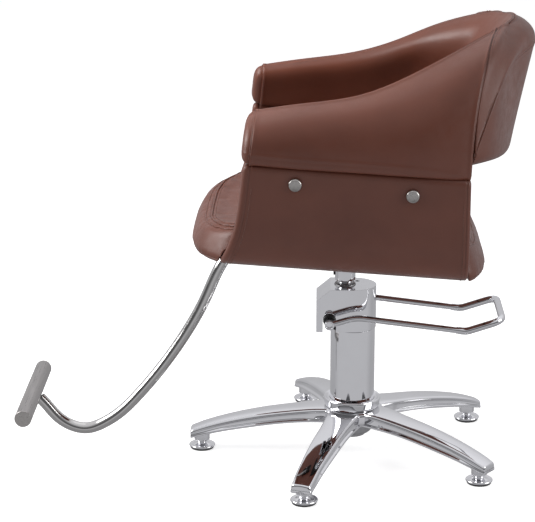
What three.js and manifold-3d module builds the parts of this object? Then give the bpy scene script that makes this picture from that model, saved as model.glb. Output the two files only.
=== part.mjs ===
// Hydraulic styling chair: five-arm star base, foot-pumped lift, swivelling bucket seat with a wrap-round
// arm and back band, and a swept tubular footrest. Millimetres, +Z up. The chair faces -Y and its left side
// is +X. Sizes are given from the column's axis at floor level; FRAME_SHIFT then centres the whole in Y.
import * as THREE from "three";
import { LoftGeometry } from "three/addons/geometries/LoftGeometry.js";
import { mergeVertices } from "three/addons/utils/BufferGeometryUtils.js";
import Module from "manifold-3d";

const wasm = await Module();
wasm.setup();

// ---------------------------------------------------------------- driving dimensions
const GAP = 0.3; // clearance between touching pieces
const FINE = 24; // sides of a large round piece
const SMALL = 12; // sides of a small round piece

const FOOT = { circle: 290, padR: 23, discR: 25.5, studR: 4.7, padTop: 3.5, discTop: 10, collarTop: 15 };
const ARM = { count: 5, wall: 4, bossR: 15, bossBottom: 18 };
const HUB = { r: 60, bottom: 62, top: 92, ringR: 55, ringTop: 110, bore: 28.5 };
const COLUMN = { r: 42.5, wall: 2, top: 249.5, neckR: 27.5, neckBottom: 45 };
const HEAD = { r: 44, front: -70, wall: 3, bottom: 250, top: 333, topPlate: 5, slotHalf: 12.5 };
const OIL_SCREW = { x: -20, y: 8 };
const LIFT = { y: -15.5, ramR: 14.25, ramTop: 392, pistonBottom: 106.3, pistonTop: 130, pistonR: 16.2 };
const CYLINDER = { r: 19.4, bore: 16.6, bottom: 100, top: 318 };
const LEVER = { y: -45, z: 274, shaftR: 6, bushR: 12.2, armX: 75, armR: 5.8, bossR: 9.3, pedalR: 7 };
const LEVER_BUSH = { from: 40, to: 47 }; // distances from the middle
const LEVER_BOSS = { from: 59.3, to: 79.3, socketR: 4, socketDepth: 4.3 };
const PLUNGER = { y: -59, r: 4, collarR: 5.5, collarBottom: 277.4, top: 297 };
const GUIDE = { bottom: 288, top: 306 };
const TILT = Math.tan(THREE.MathUtils.degToRad(3.9)); // the seat leans back: height lost per mm of +Y
const SHELL = { half: 283, wall: 27, under: 420, floor: 12, top: 615.6, rear: 197, corner: 68, fillet: 60 };
const SEAT_FRONT = { topY: -192, topZ: 629, lowY: -236, lowZ: 436 };
const CUSHION = { bottom: 446, crown: 479, rear: 243, nose: -303 };
const BOLT = { r: 11.5, proud: 7, rows: [{ y: -108, z: 594 }, { y: 96, z: 575 }] };
const BRACKET = { thick: 5, width: 34, face: 274, top: 654 };
const FOOTREST = { tubeR: 11, barR: 16, barHalf: 150, y: -616, z: 109 };
const CLAMP_SCREW = { x: 22, y: -150, head: 5.5, shank: 3, top: 427 };
const BACK_REAR = 324; // rearmost line of the backrest
const FRAME_SHIFT = (FOOTREST.barR - FOOTREST.y - BACK_REAR) / 2;

// ---------------------------------------------------------------- materials
const finish = (color, roughness, metalness) => () =>
  new THREE.MeshStandardMaterial({ color, roughness, metalness });
const chrome = finish(0xd4d4d2, 0.06, 1);
const brushedSteel = finish(0xa8a49e, 0.35, 1);
const machinedSteel = finish(0x8e9092, 0.4, 1);
const leather = finish(0x5b3227, 0.5, 0);
const blackRubber = finish(0x141414, 0.8, 0);
const blackPlastic = finish(0x1a1a1a, 0.5, 0);
const plywood = finish(0xb08a5c, 0.8, 0);

// ---------------------------------------------------------------- solids from geometry
function solid(geometry) {
  const bare = new THREE.BufferGeometry().copy(geometry);
  bare.deleteAttribute("normal");
  bare.deleteAttribute("uv");
  const merged = mergeVertices(bare, 1e-3);
  const corners = [];
  for (let i = 0; i < merged.index.count; i += 3) {
    const [a, b, c] = [0, 1, 2].map((k) => merged.index.getX(i + k));
    if (a !== b && b !== c && c !== a) corners.push(a, b, c);
  }
  const make = (triVerts) =>
    new wasm.Manifold(
      new wasm.Mesh({ numProp: 3, vertProperties: merged.attributes.position.array, triVerts }),
    );
  const made = make(Uint32Array.from(corners));
  return made.volume() > 0 ? made : make(Uint32Array.from(corners).reverse());
}

const group = new THREE.Group();
group.position.y = FRAME_SHIFT;

function addPiece(name, shape, material, at = [0, 0, 0]) {
  const { vertProperties, triVerts } = shape.getMesh();
  const geometry = new THREE.BufferGeometry();
  geometry.setAttribute("position", new THREE.BufferAttribute(vertProperties, 3));
  geometry.setIndex(new THREE.BufferAttribute(triVerts, 1));
  geometry.computeVertexNormals();
  const mesh = new THREE.Mesh(geometry, material());
  mesh.name = name;
  mesh.position.set(...at);
  group.add(mesh);
}

// A round solid about a vertical axis at (x, y), from [radius, height] pairs.
function turned(profile, x = 0, y = 0, sides = FINE) {
  const points = profile.map(([r, z]) => new THREE.Vector2(r, z));
  const shape = new THREE.LatheGeometry(points, sides);
  return solid(shape.rotateX(Math.PI / 2).translate(x, y, 0));
}

// A round solid about an axis along X through (y, z), from [radius, x] pairs.
function turnedAcross(profile, y, z, sides = SMALL) {
  const points = profile.map(([r, x]) => new THREE.Vector2(r, x));
  const shape = new THREE.LatheGeometry(points, sides);
  return solid(shape.rotateZ(-Math.PI / 2).translate(0, y, z));
}

const rod = (r, low, high) => [[0, low], [r, low], [r, high], [0, high]];
const ring = (inner, outer, low, high) => [
  [inner, low], [outer, low], [outer, high], [inner, high], [inner, low],
];

function block(x, y, z) {
  const shape = new THREE.BoxGeometry(x[1] - x[0], y[1] - y[0], z[1] - z[0]);
  return solid(shape.translate((x[0] + x[1]) / 2, (y[0] + y[1]) / 2, (z[0] + z[1]) / 2));
}

// Straight runs between corners [x, y, z, bend], rounded over the bend's length at each inner corner.
function bentRoute(corners) {
  const route = new THREE.CurvePath();
  const points = corners.map(([x, y, z]) => new THREE.Vector3(x, y, z));
  let from = points[0];
  for (let i = 1; i < points.length - 1; i++) {
    const bend = corners[i][3];
    const enter = points[i].clone().sub(points[i].clone().sub(points[i - 1]).setLength(bend));
    const leave = points[i].clone().add(points[i + 1].clone().sub(points[i]).setLength(bend));
    route.add(new THREE.LineCurve3(from, enter));
    route.add(new THREE.QuadraticBezierCurve3(enter, points[i], leave));
    from = leave;
  }
  route.add(new THREE.LineCurve3(from, points.at(-1)));
  return route;
}

function tube(route, radius, steps, sides = 10) {
  const section = new THREE.Shape().absarc(0, 0, radius, 0, 2 * Math.PI);
  const settings = { extrudePath: route, steps, curveSegments: sides / 2, bevelEnabled: false };
  return solid(new THREE.ExtrudeGeometry(section, settings));
}

// A flat outline in (x, y) raised from one height to another.
function upright(outline, low, high, segments = 12) {
  const settings = { depth: high - low, curveSegments: segments, bevelEnabled: false };
  return solid(new THREE.ExtrudeGeometry(outline, settings).translate(0, 0, low));
}

// An outline in (y, z) carried along X.
function carriedAcross(outline, from, to, segments = 8) {
  const settings = { depth: to - from, curveSegments: segments, bevelEnabled: false };
  const turn = new THREE.Matrix4().makeBasis(
    new THREE.Vector3(0, 1, 0), new THREE.Vector3(0, 0, 1), new THREE.Vector3(1, 0, 0),
  );
  return solid(new THREE.ExtrudeGeometry(outline, settings).translate(0, 0, from).applyMatrix4(turn));
}

const centreOf = (section) =>
  section.reduce((sum, p) => sum.add(p), new THREE.Vector3()).divideScalar(section.length);

// Skins a row of closed sections. They have to wind about the direction of travel, so they are turned
// round where they wind the other way.
function loft(sections) {
  const centre = centreOf(sections[0]);
  const winding = new THREE.Vector3();
  sections[0].forEach((p, i, all) => {
    const next = all[(i + 1) % all.length];
    winding.add(p.clone().sub(centre).cross(next.clone().sub(centre)));
  });
  const travel = centreOf(sections[1]).sub(centre);
  const wound = winding.dot(travel) > 0 ? sections : sections.map((section) => section.toReversed());
  return solid(new LoftGeometry(wound, { capStart: true, capEnd: true }));
}

const sideName = (side) => (side > 0 ? "left" : "right");
const tilted = (y, z) => z - y * TILT;
const mirrored = (sections) =>
  sections.map((section) => section.map((p) => new THREE.Vector3(-p.x, p.y, p.z)));

// ---------------------------------------------------------------- star base and feet
// Each station along an arm gives its distance out, half width at the foot, top height and bottom height.
const ARM_STATIONS = [
  { r: 20, half: 31, top: 92, bottom: 64 },
  { r: 60, half: 30, top: 92, bottom: 63 },
  { r: 105, half: 28, top: 87, bottom: 62 },
  { r: 160, half: 26, top: 80, bottom: 56 },
  { r: 215, half: 24, top: 71, bottom: 46 },
  { r: 265, half: 22, top: 58, bottom: 36 },
  { r: 298, half: 21, top: 48, bottom: 29 },
  { r: 312, half: 18, top: 42, bottom: 27 },
];

function armSection({ r, half, top, bottom }, inset) {
  const shoulder = (top + bottom) / 2 + 2;
  const outline = [
    [half - inset, bottom], [half - inset, shoulder - inset], [half - 9 - inset, top - inset],
  ];
  const mirror = outline.toReversed().map(([x, z]) => [-x, z]);
  return [...outline, ...mirror].map(([x, z]) => new THREE.Vector3(x, -r, z));
}

function starArm() {
  const outer = loft(ARM_STATIONS.map((station) => armSection(station, 0)));
  const hollow = ARM_STATIONS.slice(2, 6).map((s) => armSection({ ...s, bottom: s.bottom - 5 }, ARM.wall));
  const boss = turned(rod(ARM.bossR, ARM.bossBottom, 40), 0, -FOOT.circle, SMALL);
  const studHole = turned(rod(FOOT.studR + GAP, 0, 36), 0, -FOOT.circle, SMALL);
  return outer.subtract(loft(hollow)).add(boss).subtract(studHole);
}

function starBase() {
  const arm = starArm();
  let base = turned(rod(HUB.r, HUB.bottom, HUB.top));
  for (let i = 0; i < ARM.count; i++) base = base.add(arm.rotate([0, 0, (360 * i) / ARM.count]));
  return base.subtract(turned(rod(HUB.bore, 0, HUB.top + 10)));
}

function foot(number) {
  const angle = (2 * Math.PI * (number - 1)) / ARM.count;
  const at = [FOOT.circle * Math.sin(angle), -FOOT.circle * Math.cos(angle), 0];
  const disc = [
    [0, FOOT.padTop], [FOOT.discR - 2, FOOT.padTop], [FOOT.discR, 5.5], [FOOT.discR - 2, 7.5],
    [14, 8], [9, FOOT.discTop], [9, FOOT.collarTop], [0, FOOT.collarTop],
  ];
  const pad = rod(FOOT.padR, 0, FOOT.padTop - GAP);
  addPiece(`foot_pad_${number}`, turned(pad, 0, 0, 18), blackRubber, at);
  addPiece(`foot_disc_${number}`, turned(disc, 0, 0, 18), chrome, at);
  const stud = rod(FOOT.studR, FOOT.collarTop + GAP, 34);
  addPiece(`foot_stud_${number}`, turned(stud, 0, 0, SMALL), machinedSteel, at);
}

// ---------------------------------------------------------------- column and pump
function hubRing() {
  const inner = COLUMN.r + GAP;
  return turned([
    [inner, HUB.top + GAP], [HUB.ringR, HUB.top + GAP], [HUB.ringR, HUB.ringTop - 3],
    [HUB.ringR - 3, HUB.ringTop], [HUB.ringR - 6, HUB.ringTop - 2], [inner, HUB.ringTop - 1],
    [inner, HUB.top + GAP],
  ]);
}

function columnTube() {
  const low = HUB.top + GAP;
  const inner = COLUMN.r - COLUMN.wall;
  const core = COLUMN.neckR - 5;
  return turned([
    [core, COLUMN.neckBottom], [COLUMN.neckR, COLUMN.neckBottom], [COLUMN.neckR, low], [COLUMN.r, low],
    [COLUMN.r, COLUMN.top], [inner, COLUMN.top], [inner, low + 5], [core, low + 5],
    [core, COLUMN.neckBottom],
  ]);
}

// The nut's skirt overlaps the neck from outside and its cap closes the pump below the hub.
const pumpBottomNut = () =>
  turned([
    [0, 31], [23, 31], [26.5, 34], [26.5, 38], [38, 40], [38, HUB.bottom - GAP],
    [COLUMN.neckR + GAP, HUB.bottom - GAP], [COLUMN.neckR + GAP, 43], [0, 43],
  ]);

// Plan of the pump head: half round behind, straight sides and a flat front.
function headPlan(inset) {
  const r = HEAD.r - inset;
  const plan = new THREE.Shape().absarc(0, 0, r, 0, Math.PI);
  return plan.lineTo(-r, HEAD.front + inset).lineTo(r, HEAD.front + inset);
}

function leverSlot() {
  const { slotHalf, bottom } = HEAD;
  const slot = new THREE.Shape().absarc(LEVER.y, LEVER.z, slotHalf, 0, Math.PI);
  slot.lineTo(LEVER.y - slotHalf, bottom - 5).lineTo(LEVER.y + slotHalf, bottom - 5);
  return carriedAcross(slot, -60, 60);
}

function pumpHead() {
  const chamfer = new THREE.Shape().moveTo(-80, 302.6).lineTo(-35, 340).lineTo(-80, 345);
  const inside = upright(headPlan(HEAD.wall), HEAD.bottom - 5, HEAD.top - HEAD.topPlate);
  const sloping = new THREE.Shape().moveTo(-80, 296).lineTo(-28, 339).lineTo(-80, 345);
  return upright(headPlan(0), HEAD.bottom, HEAD.top)
    .subtract(carriedAcross(chamfer, -60, 60))
    .subtract(inside.subtract(carriedAcross(sloping, -60, 60)))
    .subtract(leverSlot())
    .subtract(turned(rod(LIFT.ramR + 6.1, 320, 340), 0, LIFT.y))
    .subtract(turned(rod(3.7, 322, 340), OIL_SCREW.x, OIL_SCREW.y, SMALL));
}

function oilFillerScrew() {
  const profile = [[0, 318], [3.3, 318], [3.3, 333], [5.5, 333.3], [5.5, 335], [0, 335]];
  return turned(profile, OIL_SCREW.x, OIL_SCREW.y, SMALL);
}

const pressureCylinder = () =>
  turned(
    [
      [0, CYLINDER.bottom], [CYLINDER.r, CYLINDER.bottom], [CYLINDER.r, CYLINDER.top],
      [CYLINDER.bore, CYLINDER.top], [CYLINDER.bore, CYLINDER.bottom + 6], [0, CYLINDER.bottom + 6],
    ],
    0,
    LIFT.y,
  );

const ramGland = () =>
  turned(ring(LIFT.ramR + GAP, LIFT.ramR + 5.8, CYLINDER.top + GAP, HEAD.top + 3), 0, LIFT.y);

function ram() {
  const { ramR, ramTop, pistonTop } = LIFT;
  const profile = [
    [0, pistonTop + GAP], [ramR, pistonTop + GAP], [ramR, ramTop - 2], [ramR - 2, ramTop], [0, ramTop],
  ];
  return turned(profile, 0, LIFT.y);
}

const piston = () => turned(rod(LIFT.pistonR, LIFT.pistonBottom, LIFT.pistonTop), 0, LIFT.y);

// ---------------------------------------------------------------- pump lever and plunger
const leverShaft = () => turnedAcross(rod(LEVER.shaftR, -59, 59), LEVER.y, LEVER.z);

function leverBushing(side) {
  const middle = (side * (LEVER_BUSH.from + LEVER_BUSH.to)) / 2;
  const half = (LEVER_BUSH.to - LEVER_BUSH.from) / 2;
  const bush = ring(LEVER.shaftR + GAP, LEVER.bushR, middle - half, middle + half);
  return turnedAcross(bush, LEVER.y, LEVER.z, 20);
}

function leverArm(side) {
  const x = side * LEVER.armX;
  const route = bentRoute([[x, LEVER.y, LEVER.z], [x, 4, 289, 12], [x, 196, 265.7]]);
  const { from, to, socketR, socketDepth } = LEVER_BOSS;
  const middle = (side * (from + to)) / 2;
  const half = (to - from) / 2;
  const boss = turnedAcross(rod(LEVER.bossR, middle - half, middle + half), LEVER.y, LEVER.z, 20);
  const deep = side * to;
  const socket = turnedAcross(rod(socketR, deep - socketDepth, deep + socketDepth), LEVER.y, LEVER.z, 6);
  return boss.add(tube(route, LEVER.armR, 12)).subtract(socket);
}

// The foot loop starts where the bare rods end: it climbs to the rear and crosses behind the column.
function leverPedal() {
  const x = LEVER.armX;
  const side = [[x, 196.6, 265.6], [x, 211, 263.9, 9], [x, 278, 286, 18]];
  const across = side.toReversed().map(([, y, z, bend]) => [-x, y, z, bend]);
  return tube(bentRoute([...side, ...across]), LEVER.pedalR, 32);
}

function leverRocker() {
  const nose = new THREE.Shape().moveTo(LEVER.y, LEVER.z - 3).lineTo(LEVER.y, LEVER.z + 3);
  nose.absarc(PLUNGER.y, LEVER.z, 3, 0.5 * Math.PI, 1.5 * Math.PI);
  const hub = turnedAcross(rod(8.5, -8, 8), LEVER.y, LEVER.z);
  const bore = turnedAcross(rod(LEVER.shaftR + 0.15, -12, 12), LEVER.y, LEVER.z);
  return hub.add(carriedAcross(nose, -4, 4, 4)).subtract(bore);
}

// The plunger hangs in its guide block; the rocker's nose lifts it by its collar.
function pumpPlunger() {
  const { r, collarR, collarBottom, top } = PLUNGER;
  const profile = [
    [0, collarBottom], [collarR, collarBottom], [collarR, collarBottom + 3], [r, collarBottom + 3],
    [r, top], [0, top],
  ];
  return turned(profile, 0, PLUNGER.y, SMALL);
}

function plungerGuide() {
  const front = HEAD.front + HEAD.wall + GAP;
  const bore = turned(rod(PLUNGER.r + 0.15, GUIDE.bottom - 5, GUIDE.top - 1), 0, PLUNGER.y, SMALL);
  return block([-14, 14], [front, -51.5], [GUIDE.bottom, GUIDE.top]).subtract(bore);
}

class Helix extends THREE.Curve {
  constructor(y, radius, low, high, turns) {
    super();
    Object.assign(this, { y, radius, low, high, turns });
  }

  getPoint(t, target = new THREE.Vector3()) {
    const angle = 2 * Math.PI * this.turns * t;
    const height = this.low + (this.high - this.low) * t;
    return target.set(this.radius * Math.cos(angle), this.y + this.radius * Math.sin(angle), height);
  }
}

function plungerSpring() {
  const turns = 3;
  const coil = new Helix(PLUNGER.y, 5, PLUNGER.collarBottom + 3.9, GUIDE.bottom - 0.9, turns);
  return tube(coil, 0.6, 12 * turns, 6);
}

// ---------------------------------------------------------------- seat support
// The tilted underside carries the mount plate; the socket below it is trimmed to the same slope.
function slopedSlab(half, y, under, thick) {
  const slab = new THREE.Shape();
  slab.moveTo(y[0], tilted(y[0], under)).lineTo(y[1], tilted(y[1], under));
  slab.lineTo(y[1], tilted(y[1], under + thick)).lineTo(y[0], tilted(y[0], under + thick));
  return carriedAcross(slab, -half, half);
}

const MOUNT_PLATE = { half: 85, y: [-85, 75], thick: 6 };

function ramSocket() {
  const above = slopedSlab(100, [-100, 100], SHELL.under - GAP - MOUNT_PLATE.thick - GAP, 60);
  const profile = [
    [LIFT.ramR + GAP, 342], [19.7, 342], [19.7, 396], [46, 402], [46, 425], [0, 425], [0, 393],
    [LIFT.ramR + GAP, 393], [LIFT.ramR + GAP, 342],
  ];
  const screwHole = boreForward(3.4);
  return turned(profile, 0, LIFT.y).subtract(above).subtract(screwHole);
}

function boreForward(r) {
  const shape = new THREE.CylinderGeometry(r, r, 12, 12).translate(0, LIFT.y - 20, 354);
  return solid(shape);
}

const socketSetScrew = () => solid(new THREE.CylinderGeometry(3, 3, 6, 12).translate(0, LIFT.y - 19, 354));

function seatMountPlate() {
  const under = SHELL.under - GAP - MOUNT_PLATE.thick;
  return slopedSlab(MOUNT_PLATE.half, MOUNT_PLATE.y, under, MOUNT_PLATE.thick);
}

// ---------------------------------------------------------------- seat shell, board and cushion
const shear = new THREE.Matrix4().set(1, 0, 0, 0, 0, 1, 0, 0, 0, -TILT, 1, 0, 0, 0, 0, 1);

// U section of the padded lower shell: two side walls, rounded lower corners and a flat floor.
function shellOutline() {
  const { half, wall, under, floor, top, corner, fillet } = SHELL;
  const inner = half - wall;
  const inside = under + floor;
  const outline = new THREE.Shape();
  outline.moveTo(half, top - 6).lineTo(half - 6, top).lineTo(inner + 6, top).lineTo(inner, top - 6);
  outline.absarc(inner - fillet, inside + fillet, fillet, 0, -Math.PI / 2, true);
  outline.absarc(-inner + fillet, inside + fillet, fillet, -Math.PI / 2, -Math.PI, true);
  outline.lineTo(-inner, top - 6).lineTo(-inner - 6, top).lineTo(-half + 6, top).lineTo(-half, top - 6);
  outline.absarc(-half + corner, under + corner, corner, Math.PI, 1.5 * Math.PI);
  outline.absarc(half - corner, under + corner, corner, 1.5 * Math.PI, 2 * Math.PI);
  return outline;
}

// An outline in (x, z) carried from front to rear and leaned back with the seat.
function carriedBack(outline, front, rear, segments) {
  const settings = { depth: rear - front, curveSegments: segments, bevelEnabled: false };
  const shape = new THREE.ExtrudeGeometry(outline, settings);
  return solid(shape.rotateX(Math.PI / 2).translate(0, rear, 0).applyMatrix4(shear));
}

function seatShell() {
  const { topY, topZ, lowY, lowZ } = SEAT_FRONT;
  const slope = (topY - lowY) / (topZ - lowZ);
  const front = new THREE.Shape().moveTo(topY + slope * 60, topZ + 60).lineTo(lowY - slope * 80, lowZ - 80);
  front.lineTo(-330, lowZ - 80).lineTo(-330, topZ + 60);
  let shell = carriedBack(shellOutline(), -262, SHELL.rear, 6).subtract(carriedAcross(front, -300, 300));
  for (const side of [1, -1]) {
    shell = shell.subtract(bracketSolid(side, GAP));
    for (const row of BOLT.rows) shell = shell.subtract(boltSolid(side, row, GAP));
  }
  return shell;
}

const seatBoard = () => {
  const board = new THREE.Shape();
  const low = SHELL.under + SHELL.floor + GAP;
  board.moveTo(-192, low).lineTo(192, low).lineTo(192, low + 12).lineTo(-192, low + 12);
  return carriedBack(board, -228, 200, 1);
};

// Stations of the seat cushion from nose to rear: half width, underside, top and the rise of its sides.
const CUSHION_STATIONS = [
  { y: CUSHION.nose, half: 70, bottom: 430, top: 448, wing: 0 },
  { y: -296, half: 140, bottom: 422, top: 462, wing: 0 },
  { y: -272, half: 205, bottom: 417, top: 474, wing: 4 },
  { y: -240, half: 246, bottom: 422, top: 480, wing: 22 },
  { y: -237, half: 250, bottom: CUSHION.bottom, top: 481, wing: 26 },
  { y: -120, half: 252, bottom: CUSHION.bottom, top: CUSHION.crown, wing: 30 },
  { y: 60, half: 252, bottom: CUSHION.bottom, top: CUSHION.crown, wing: 30 },
  { y: 202, half: 250, bottom: CUSHION.bottom, top: 470, wing: 30 },
  { y: 211, half: 241, bottom: 420, top: 469, wing: 28 },
  { y: 226, half: 214, bottom: 413, top: 465, wing: 26 },
  { y: 236, half: 190, bottom: 412, top: 454, wing: 18 },
  { y: CUSHION.rear, half: 160, bottom: 416, top: 440, wing: 2 },
];

function cushionSection({ y, half, bottom, top, wing }) {
  const edge = Math.min(62, half * 0.5);
  const rise = 0.55 * (top + wing - bottom);
  const round = Math.min(8, 0.3 * (top - bottom));
  const outline = [
    [half - edge, bottom],
    [half - 0.43 * edge, bottom + 0.06 * rise],
    [half - 0.17 * edge, bottom + 0.4 * rise],
    [half, bottom + rise],
    [half, top + wing - round],
    [half - round, top + wing],
    [half - 0.6 * edge, top + 0.3 * wing - 3],
    [half * 0.4, top],
  ];
  const mirror = outline.toReversed().map(([x, z]) => [-x, z]);
  return [...outline, ...mirror].map(([x, z]) => new THREE.Vector3(x, y, tilted(y, z)));
}

const seatCushion = () => loft(CUSHION_STATIONS.map(cushionSection));

// ---------------------------------------------------------------- arm and back band
// The band is drawn by lines that run from the left arm's front to the middle of the back. Each list
// gives one line's points at the same nine stations; station SEAM is where the arm meets the back.
const SEAM = 5;
const BAND = {
  hem: [
    [287, -190, 632.5], [289, -95, 625.5], [290, 0, 619.5], [289, 85, 613.5], [284, 145, 608.5],
    [273, 194, 605.5], [225, 232, 604], [125, 266, 602], [0, 279, 601],
  ],
  flank: [
    [284, -190, 664], [284, -95, 668], [283, 0, 674], [281, 85, 678], [278, 145, 672],
    [268, 200, 655], [205, 245, 728], [110, 282, 785], [0, BACK_REAR, 800],
  ],
  brow: [
    [262, -188, 694], [263, -95, 703], [259, 0, 715], [247, 88, 738], [232, 155, 770],
    [205, 224, 806], [150, 258, 812], [75, 296, 825], [0, 314, 826],
  ],
  ridge: [
    [221, -182, 708], [222, -95, 720], [219, 0, 734], [198, 88, 764], [168, 170, 802],
    [98, 250, 834], [62, 272, 841], [30, 285, 845], [0, 288, 846],
  ],
  lip: [
    [205, -178, 698], [205, -95, 709], [201, 0, 722], [180, 84, 750], [148, 158, 786],
    [84, 232, 818], [54, 252, 826], [27, 262, 830], [0, 265, 831],
  ],
  lining: [
    [232, -185, 670], [232, -95, 676], [229, 0, 685], [215, 80, 700], [192, 138, 716],
    [150, 192, 728], [105, 216, 732], [52, 230, 735], [0, 234, 736],
  ],
  foot: [
    [250, -190, 632.5], [251, -95, 625.5], [251, 0, 619.5], [247, 78, 613.5], [236, 128, 608.5],
    [212, 170, 605.5], [165, 204, 604], [90, 226, 602], [0, 236, 601],
  ],
};
const MIDDLE = 8; // station at the middle of the back
const ARM_END = 6; // the arm's inner corner ends here, behind the lining
const LINING_DEPTH = 14; // thickness of the padded inner lining

const bandLines = Object.fromEntries(
  Object.entries(BAND).map(([name, points]) => {
    const across = points.slice(-3, -1).toReversed().map(([x, y, z]) => [-x, y, z]);
    const line = new THREE.CatmullRomCurve3([...points, ...across].map((p) => new THREE.Vector3(...p)));
    const spans = points.length + across.length - 1;
    return [name, (station) => line.getPoint(station / spans)];
  }),
);

const stationsBetween = (from, to, count) =>
  Array.from({ length: count + 1 }, (_, i) => from + ((to - from) * i) / count);

// A point behind the lining's face: outwards at the arms, turning to rearwards at the middle of the back.
function behind(name, station, depth) {
  const angle = (Math.PI / 2) * THREE.MathUtils.clamp((station - 3) / 5, 0, 1);
  const away = new THREE.Vector3(Math.cos(angle), Math.sin(angle), 0);
  return bandLines[name](station).addScaledVector(away, depth);
}

// A rounded front end: the first section shrunk and moved forward in two steps.
function frontCap(section) {
  const centre = centreOf(section);
  const shrink = (scale, forward) =>
    section.map((p) => p.clone().sub(centre).multiplyScalar(scale).add(centre).setY(p.y - forward));
  return [shrink(0.5, 12), shrink(0.85, 8)];
}

function outerSection(station) {
  const outer = ["hem", "flank", "brow", "ridge"].map((name) => bandLines[name](station));
  const depth = LINING_DEPTH + 1.5;
  const top = bandLines.lip(station).lerp(bandLines.ridge(station), 0.55);
  return [...outer, top, behind("lining", station, depth), behind("foot", station, depth)];
}

// The outer band on the +X side between two stations, with sections at the same places in every stretch.
function outerBand(from, to) {
  const step = MIDDLE / 20;
  const between = stationsBetween(0, MIDDLE, 20).filter((s) => s > from + step / 4 && s < to - step / 4);
  const sections = [from, ...between, to].map(outerSection);
  return loft(from === 0 ? [...frontCap(sections[0]), ...sections] : sections);
}

// Everything on one side of the sloping seam plane: -1 is the arm's side and 1 the back's.
function seamSide(direction) {
  const [low, middle, high] = ["hem", "brow", "ridge"].map((name) => bandLines[name](SEAM));
  const normal = middle.clone().sub(low).cross(high.clone().sub(low)).normalize();
  if (normal.y * direction < 0) normal.negate();
  const size = 1500;
  const turn = new THREE.Quaternion().setFromUnitVectors(new THREE.Vector3(0, 0, 1), normal);
  const centre = low.clone().addScaledVector(normal, (size + GAP) / 2);
  const shape = new THREE.BoxGeometry(size, size, size).applyQuaternion(turn);
  return solid(shape.translate(centre.x, centre.y, centre.z));
}

const flipped = (shape, side) => (side > 0 ? shape : shape.mirror([1, 0, 0]));

const armBand = (side) =>
  flipped(outerBand(0, ARM_END).intersect(seamSide(-1)), side).subtract(bracketSolid(side, GAP));

function backShell() {
  const corner = outerBand(0, MIDDLE + 0.15).intersect(seamSide(1));
  const half = corner.add(outerBand(ARM_END + 0.01, MIDDLE + 0.15));
  return half.add(half.mirror([1, 0, 0]));
}

// The padded lining runs inside the band in one piece from arm to arm.
function bandLining() {
  const near = stationsBetween(0, MIDDLE, 18).map((station) => [
    behind("foot", station, LINING_DEPTH),
    behind("lining", station, LINING_DEPTH),
    bandLines.lip(station).lerp(bandLines.ridge(station), 0.45),
    ...["lip", "lining", "foot"].map((name) => bandLines[name](station)),
  ]);
  const whole = [...frontCap(near[0]), ...near];
  return loft([...whole, ...mirrored(whole.slice(0, -1)).toReversed()]);
}

// ---------------------------------------------------------------- arm brackets and bolts
// A flat steel bracket inside each side wall, bolted to the lower shell and rising into the arm.
function bracketSolid(side, grow) {
  const { thick, width, face, top } = BRACKET;
  const x = side > 0 ? [face - thick - grow, face + grow] : [-face - grow, thick - face + grow];
  const bar = (y, z) => block(x, [y[0] - grow, y[1] + grow], [z[0] - grow, z[1] + grow]);
  const [front, rear] = BOLT.rows;
  const rail = bar([front.y - width / 2, rear.y + width / 2], [rear.z - width / 2, rear.z + width / 2]);
  const riser = (row) => bar([row.y - width / 2, row.y + width / 2], [rear.z, top]);
  return rail.add(riser(front)).add(riser(rear));
}

function armBracket(side) {
  let bracket = bracketSolid(side, 0);
  for (const row of BOLT.rows) bracket = bracket.subtract(boltSolid(side, row, GAP));
  return bracket;
}

function boltSolid(side, { y, z }, grow) {
  const inner = BRACKET.face - BRACKET.thick - 3;
  const seat = SHELL.half + GAP;
  const profile = [
    [0, inner], [3.8 + grow, inner], [3.8 + grow, seat], [BOLT.r, seat], [BOLT.r, seat + BOLT.proud - 2],
    [BOLT.r - 2, seat + BOLT.proud], [0, seat + BOLT.proud],
  ].map(([r, x]) => [r, side * x]);
  return turnedAcross(profile, y, z, 20);
}

// ---------------------------------------------------------------- footrest
// Side view of the swept tube as (y, z): out from under the seat, down and round to the cross-bar.
const TUBE_ROUTE = [
  [-110, 414], [-150, 414], [-190, 412], [-224, 401], [-248, 374], [-281, 303], [-310, 248], [-349, 187.5],
  [-388, 136], [-418, 101], [-447, 72], [-477, 51], [-514, 37.5], [-545, 43.5], [-574, 64], [-592, 86],
  [-603.5, 99],
];

function footrestTube() {
  const route = new THREE.CatmullRomCurve3(TUBE_ROUTE.map(([y, z]) => new THREE.Vector3(0, y, z)));
  const bar = turnedAcross(rod(FOOTREST.barR + GAP, -40, 40), FOOTREST.y, FOOTREST.z, 24);
  return tube(route, FOOTREST.tubeR, 34).subtract(bar);
}

function footrestBar() {
  const end = FOOTREST.barHalf - 3;
  return turnedAcross(ring(FOOTREST.barR - 2.5, FOOTREST.barR, -end, end), FOOTREST.y, FOOTREST.z, FINE);
}

function footrestCap(side) {
  const face = FOOTREST.barHalf;
  const profile = [
    [0, face - 12], [13, face - 12], [13, face - 3 + GAP], [FOOTREST.barR, face - 3 + GAP],
    [FOOTREST.barR, face - 1], [FOOTREST.barR - 1, face], [0, face],
  ].map(([r, x]) => [r, side * x]);
  return turnedAcross(profile, FOOTREST.y, FOOTREST.z, 24);
}

function footrestBracket() {
  const clamp = slopedSlab(30, [-185, -112], 393, 26.5);
  const run = TUBE_ROUTE.slice(0, 4).map(([y, z]) => new THREE.Vector3(0, y, z));
  const bore = new THREE.CatmullRomCurve3([new THREE.Vector3(0, -60, 414), ...run]);
  const holes = [1, -1].map((side) => clampScrewAt(side, GAP));
  return clamp.subtract(tube(bore, FOOTREST.tubeR + 1.2, 12)).subtract(holes[0]).subtract(holes[1]);
}

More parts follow.
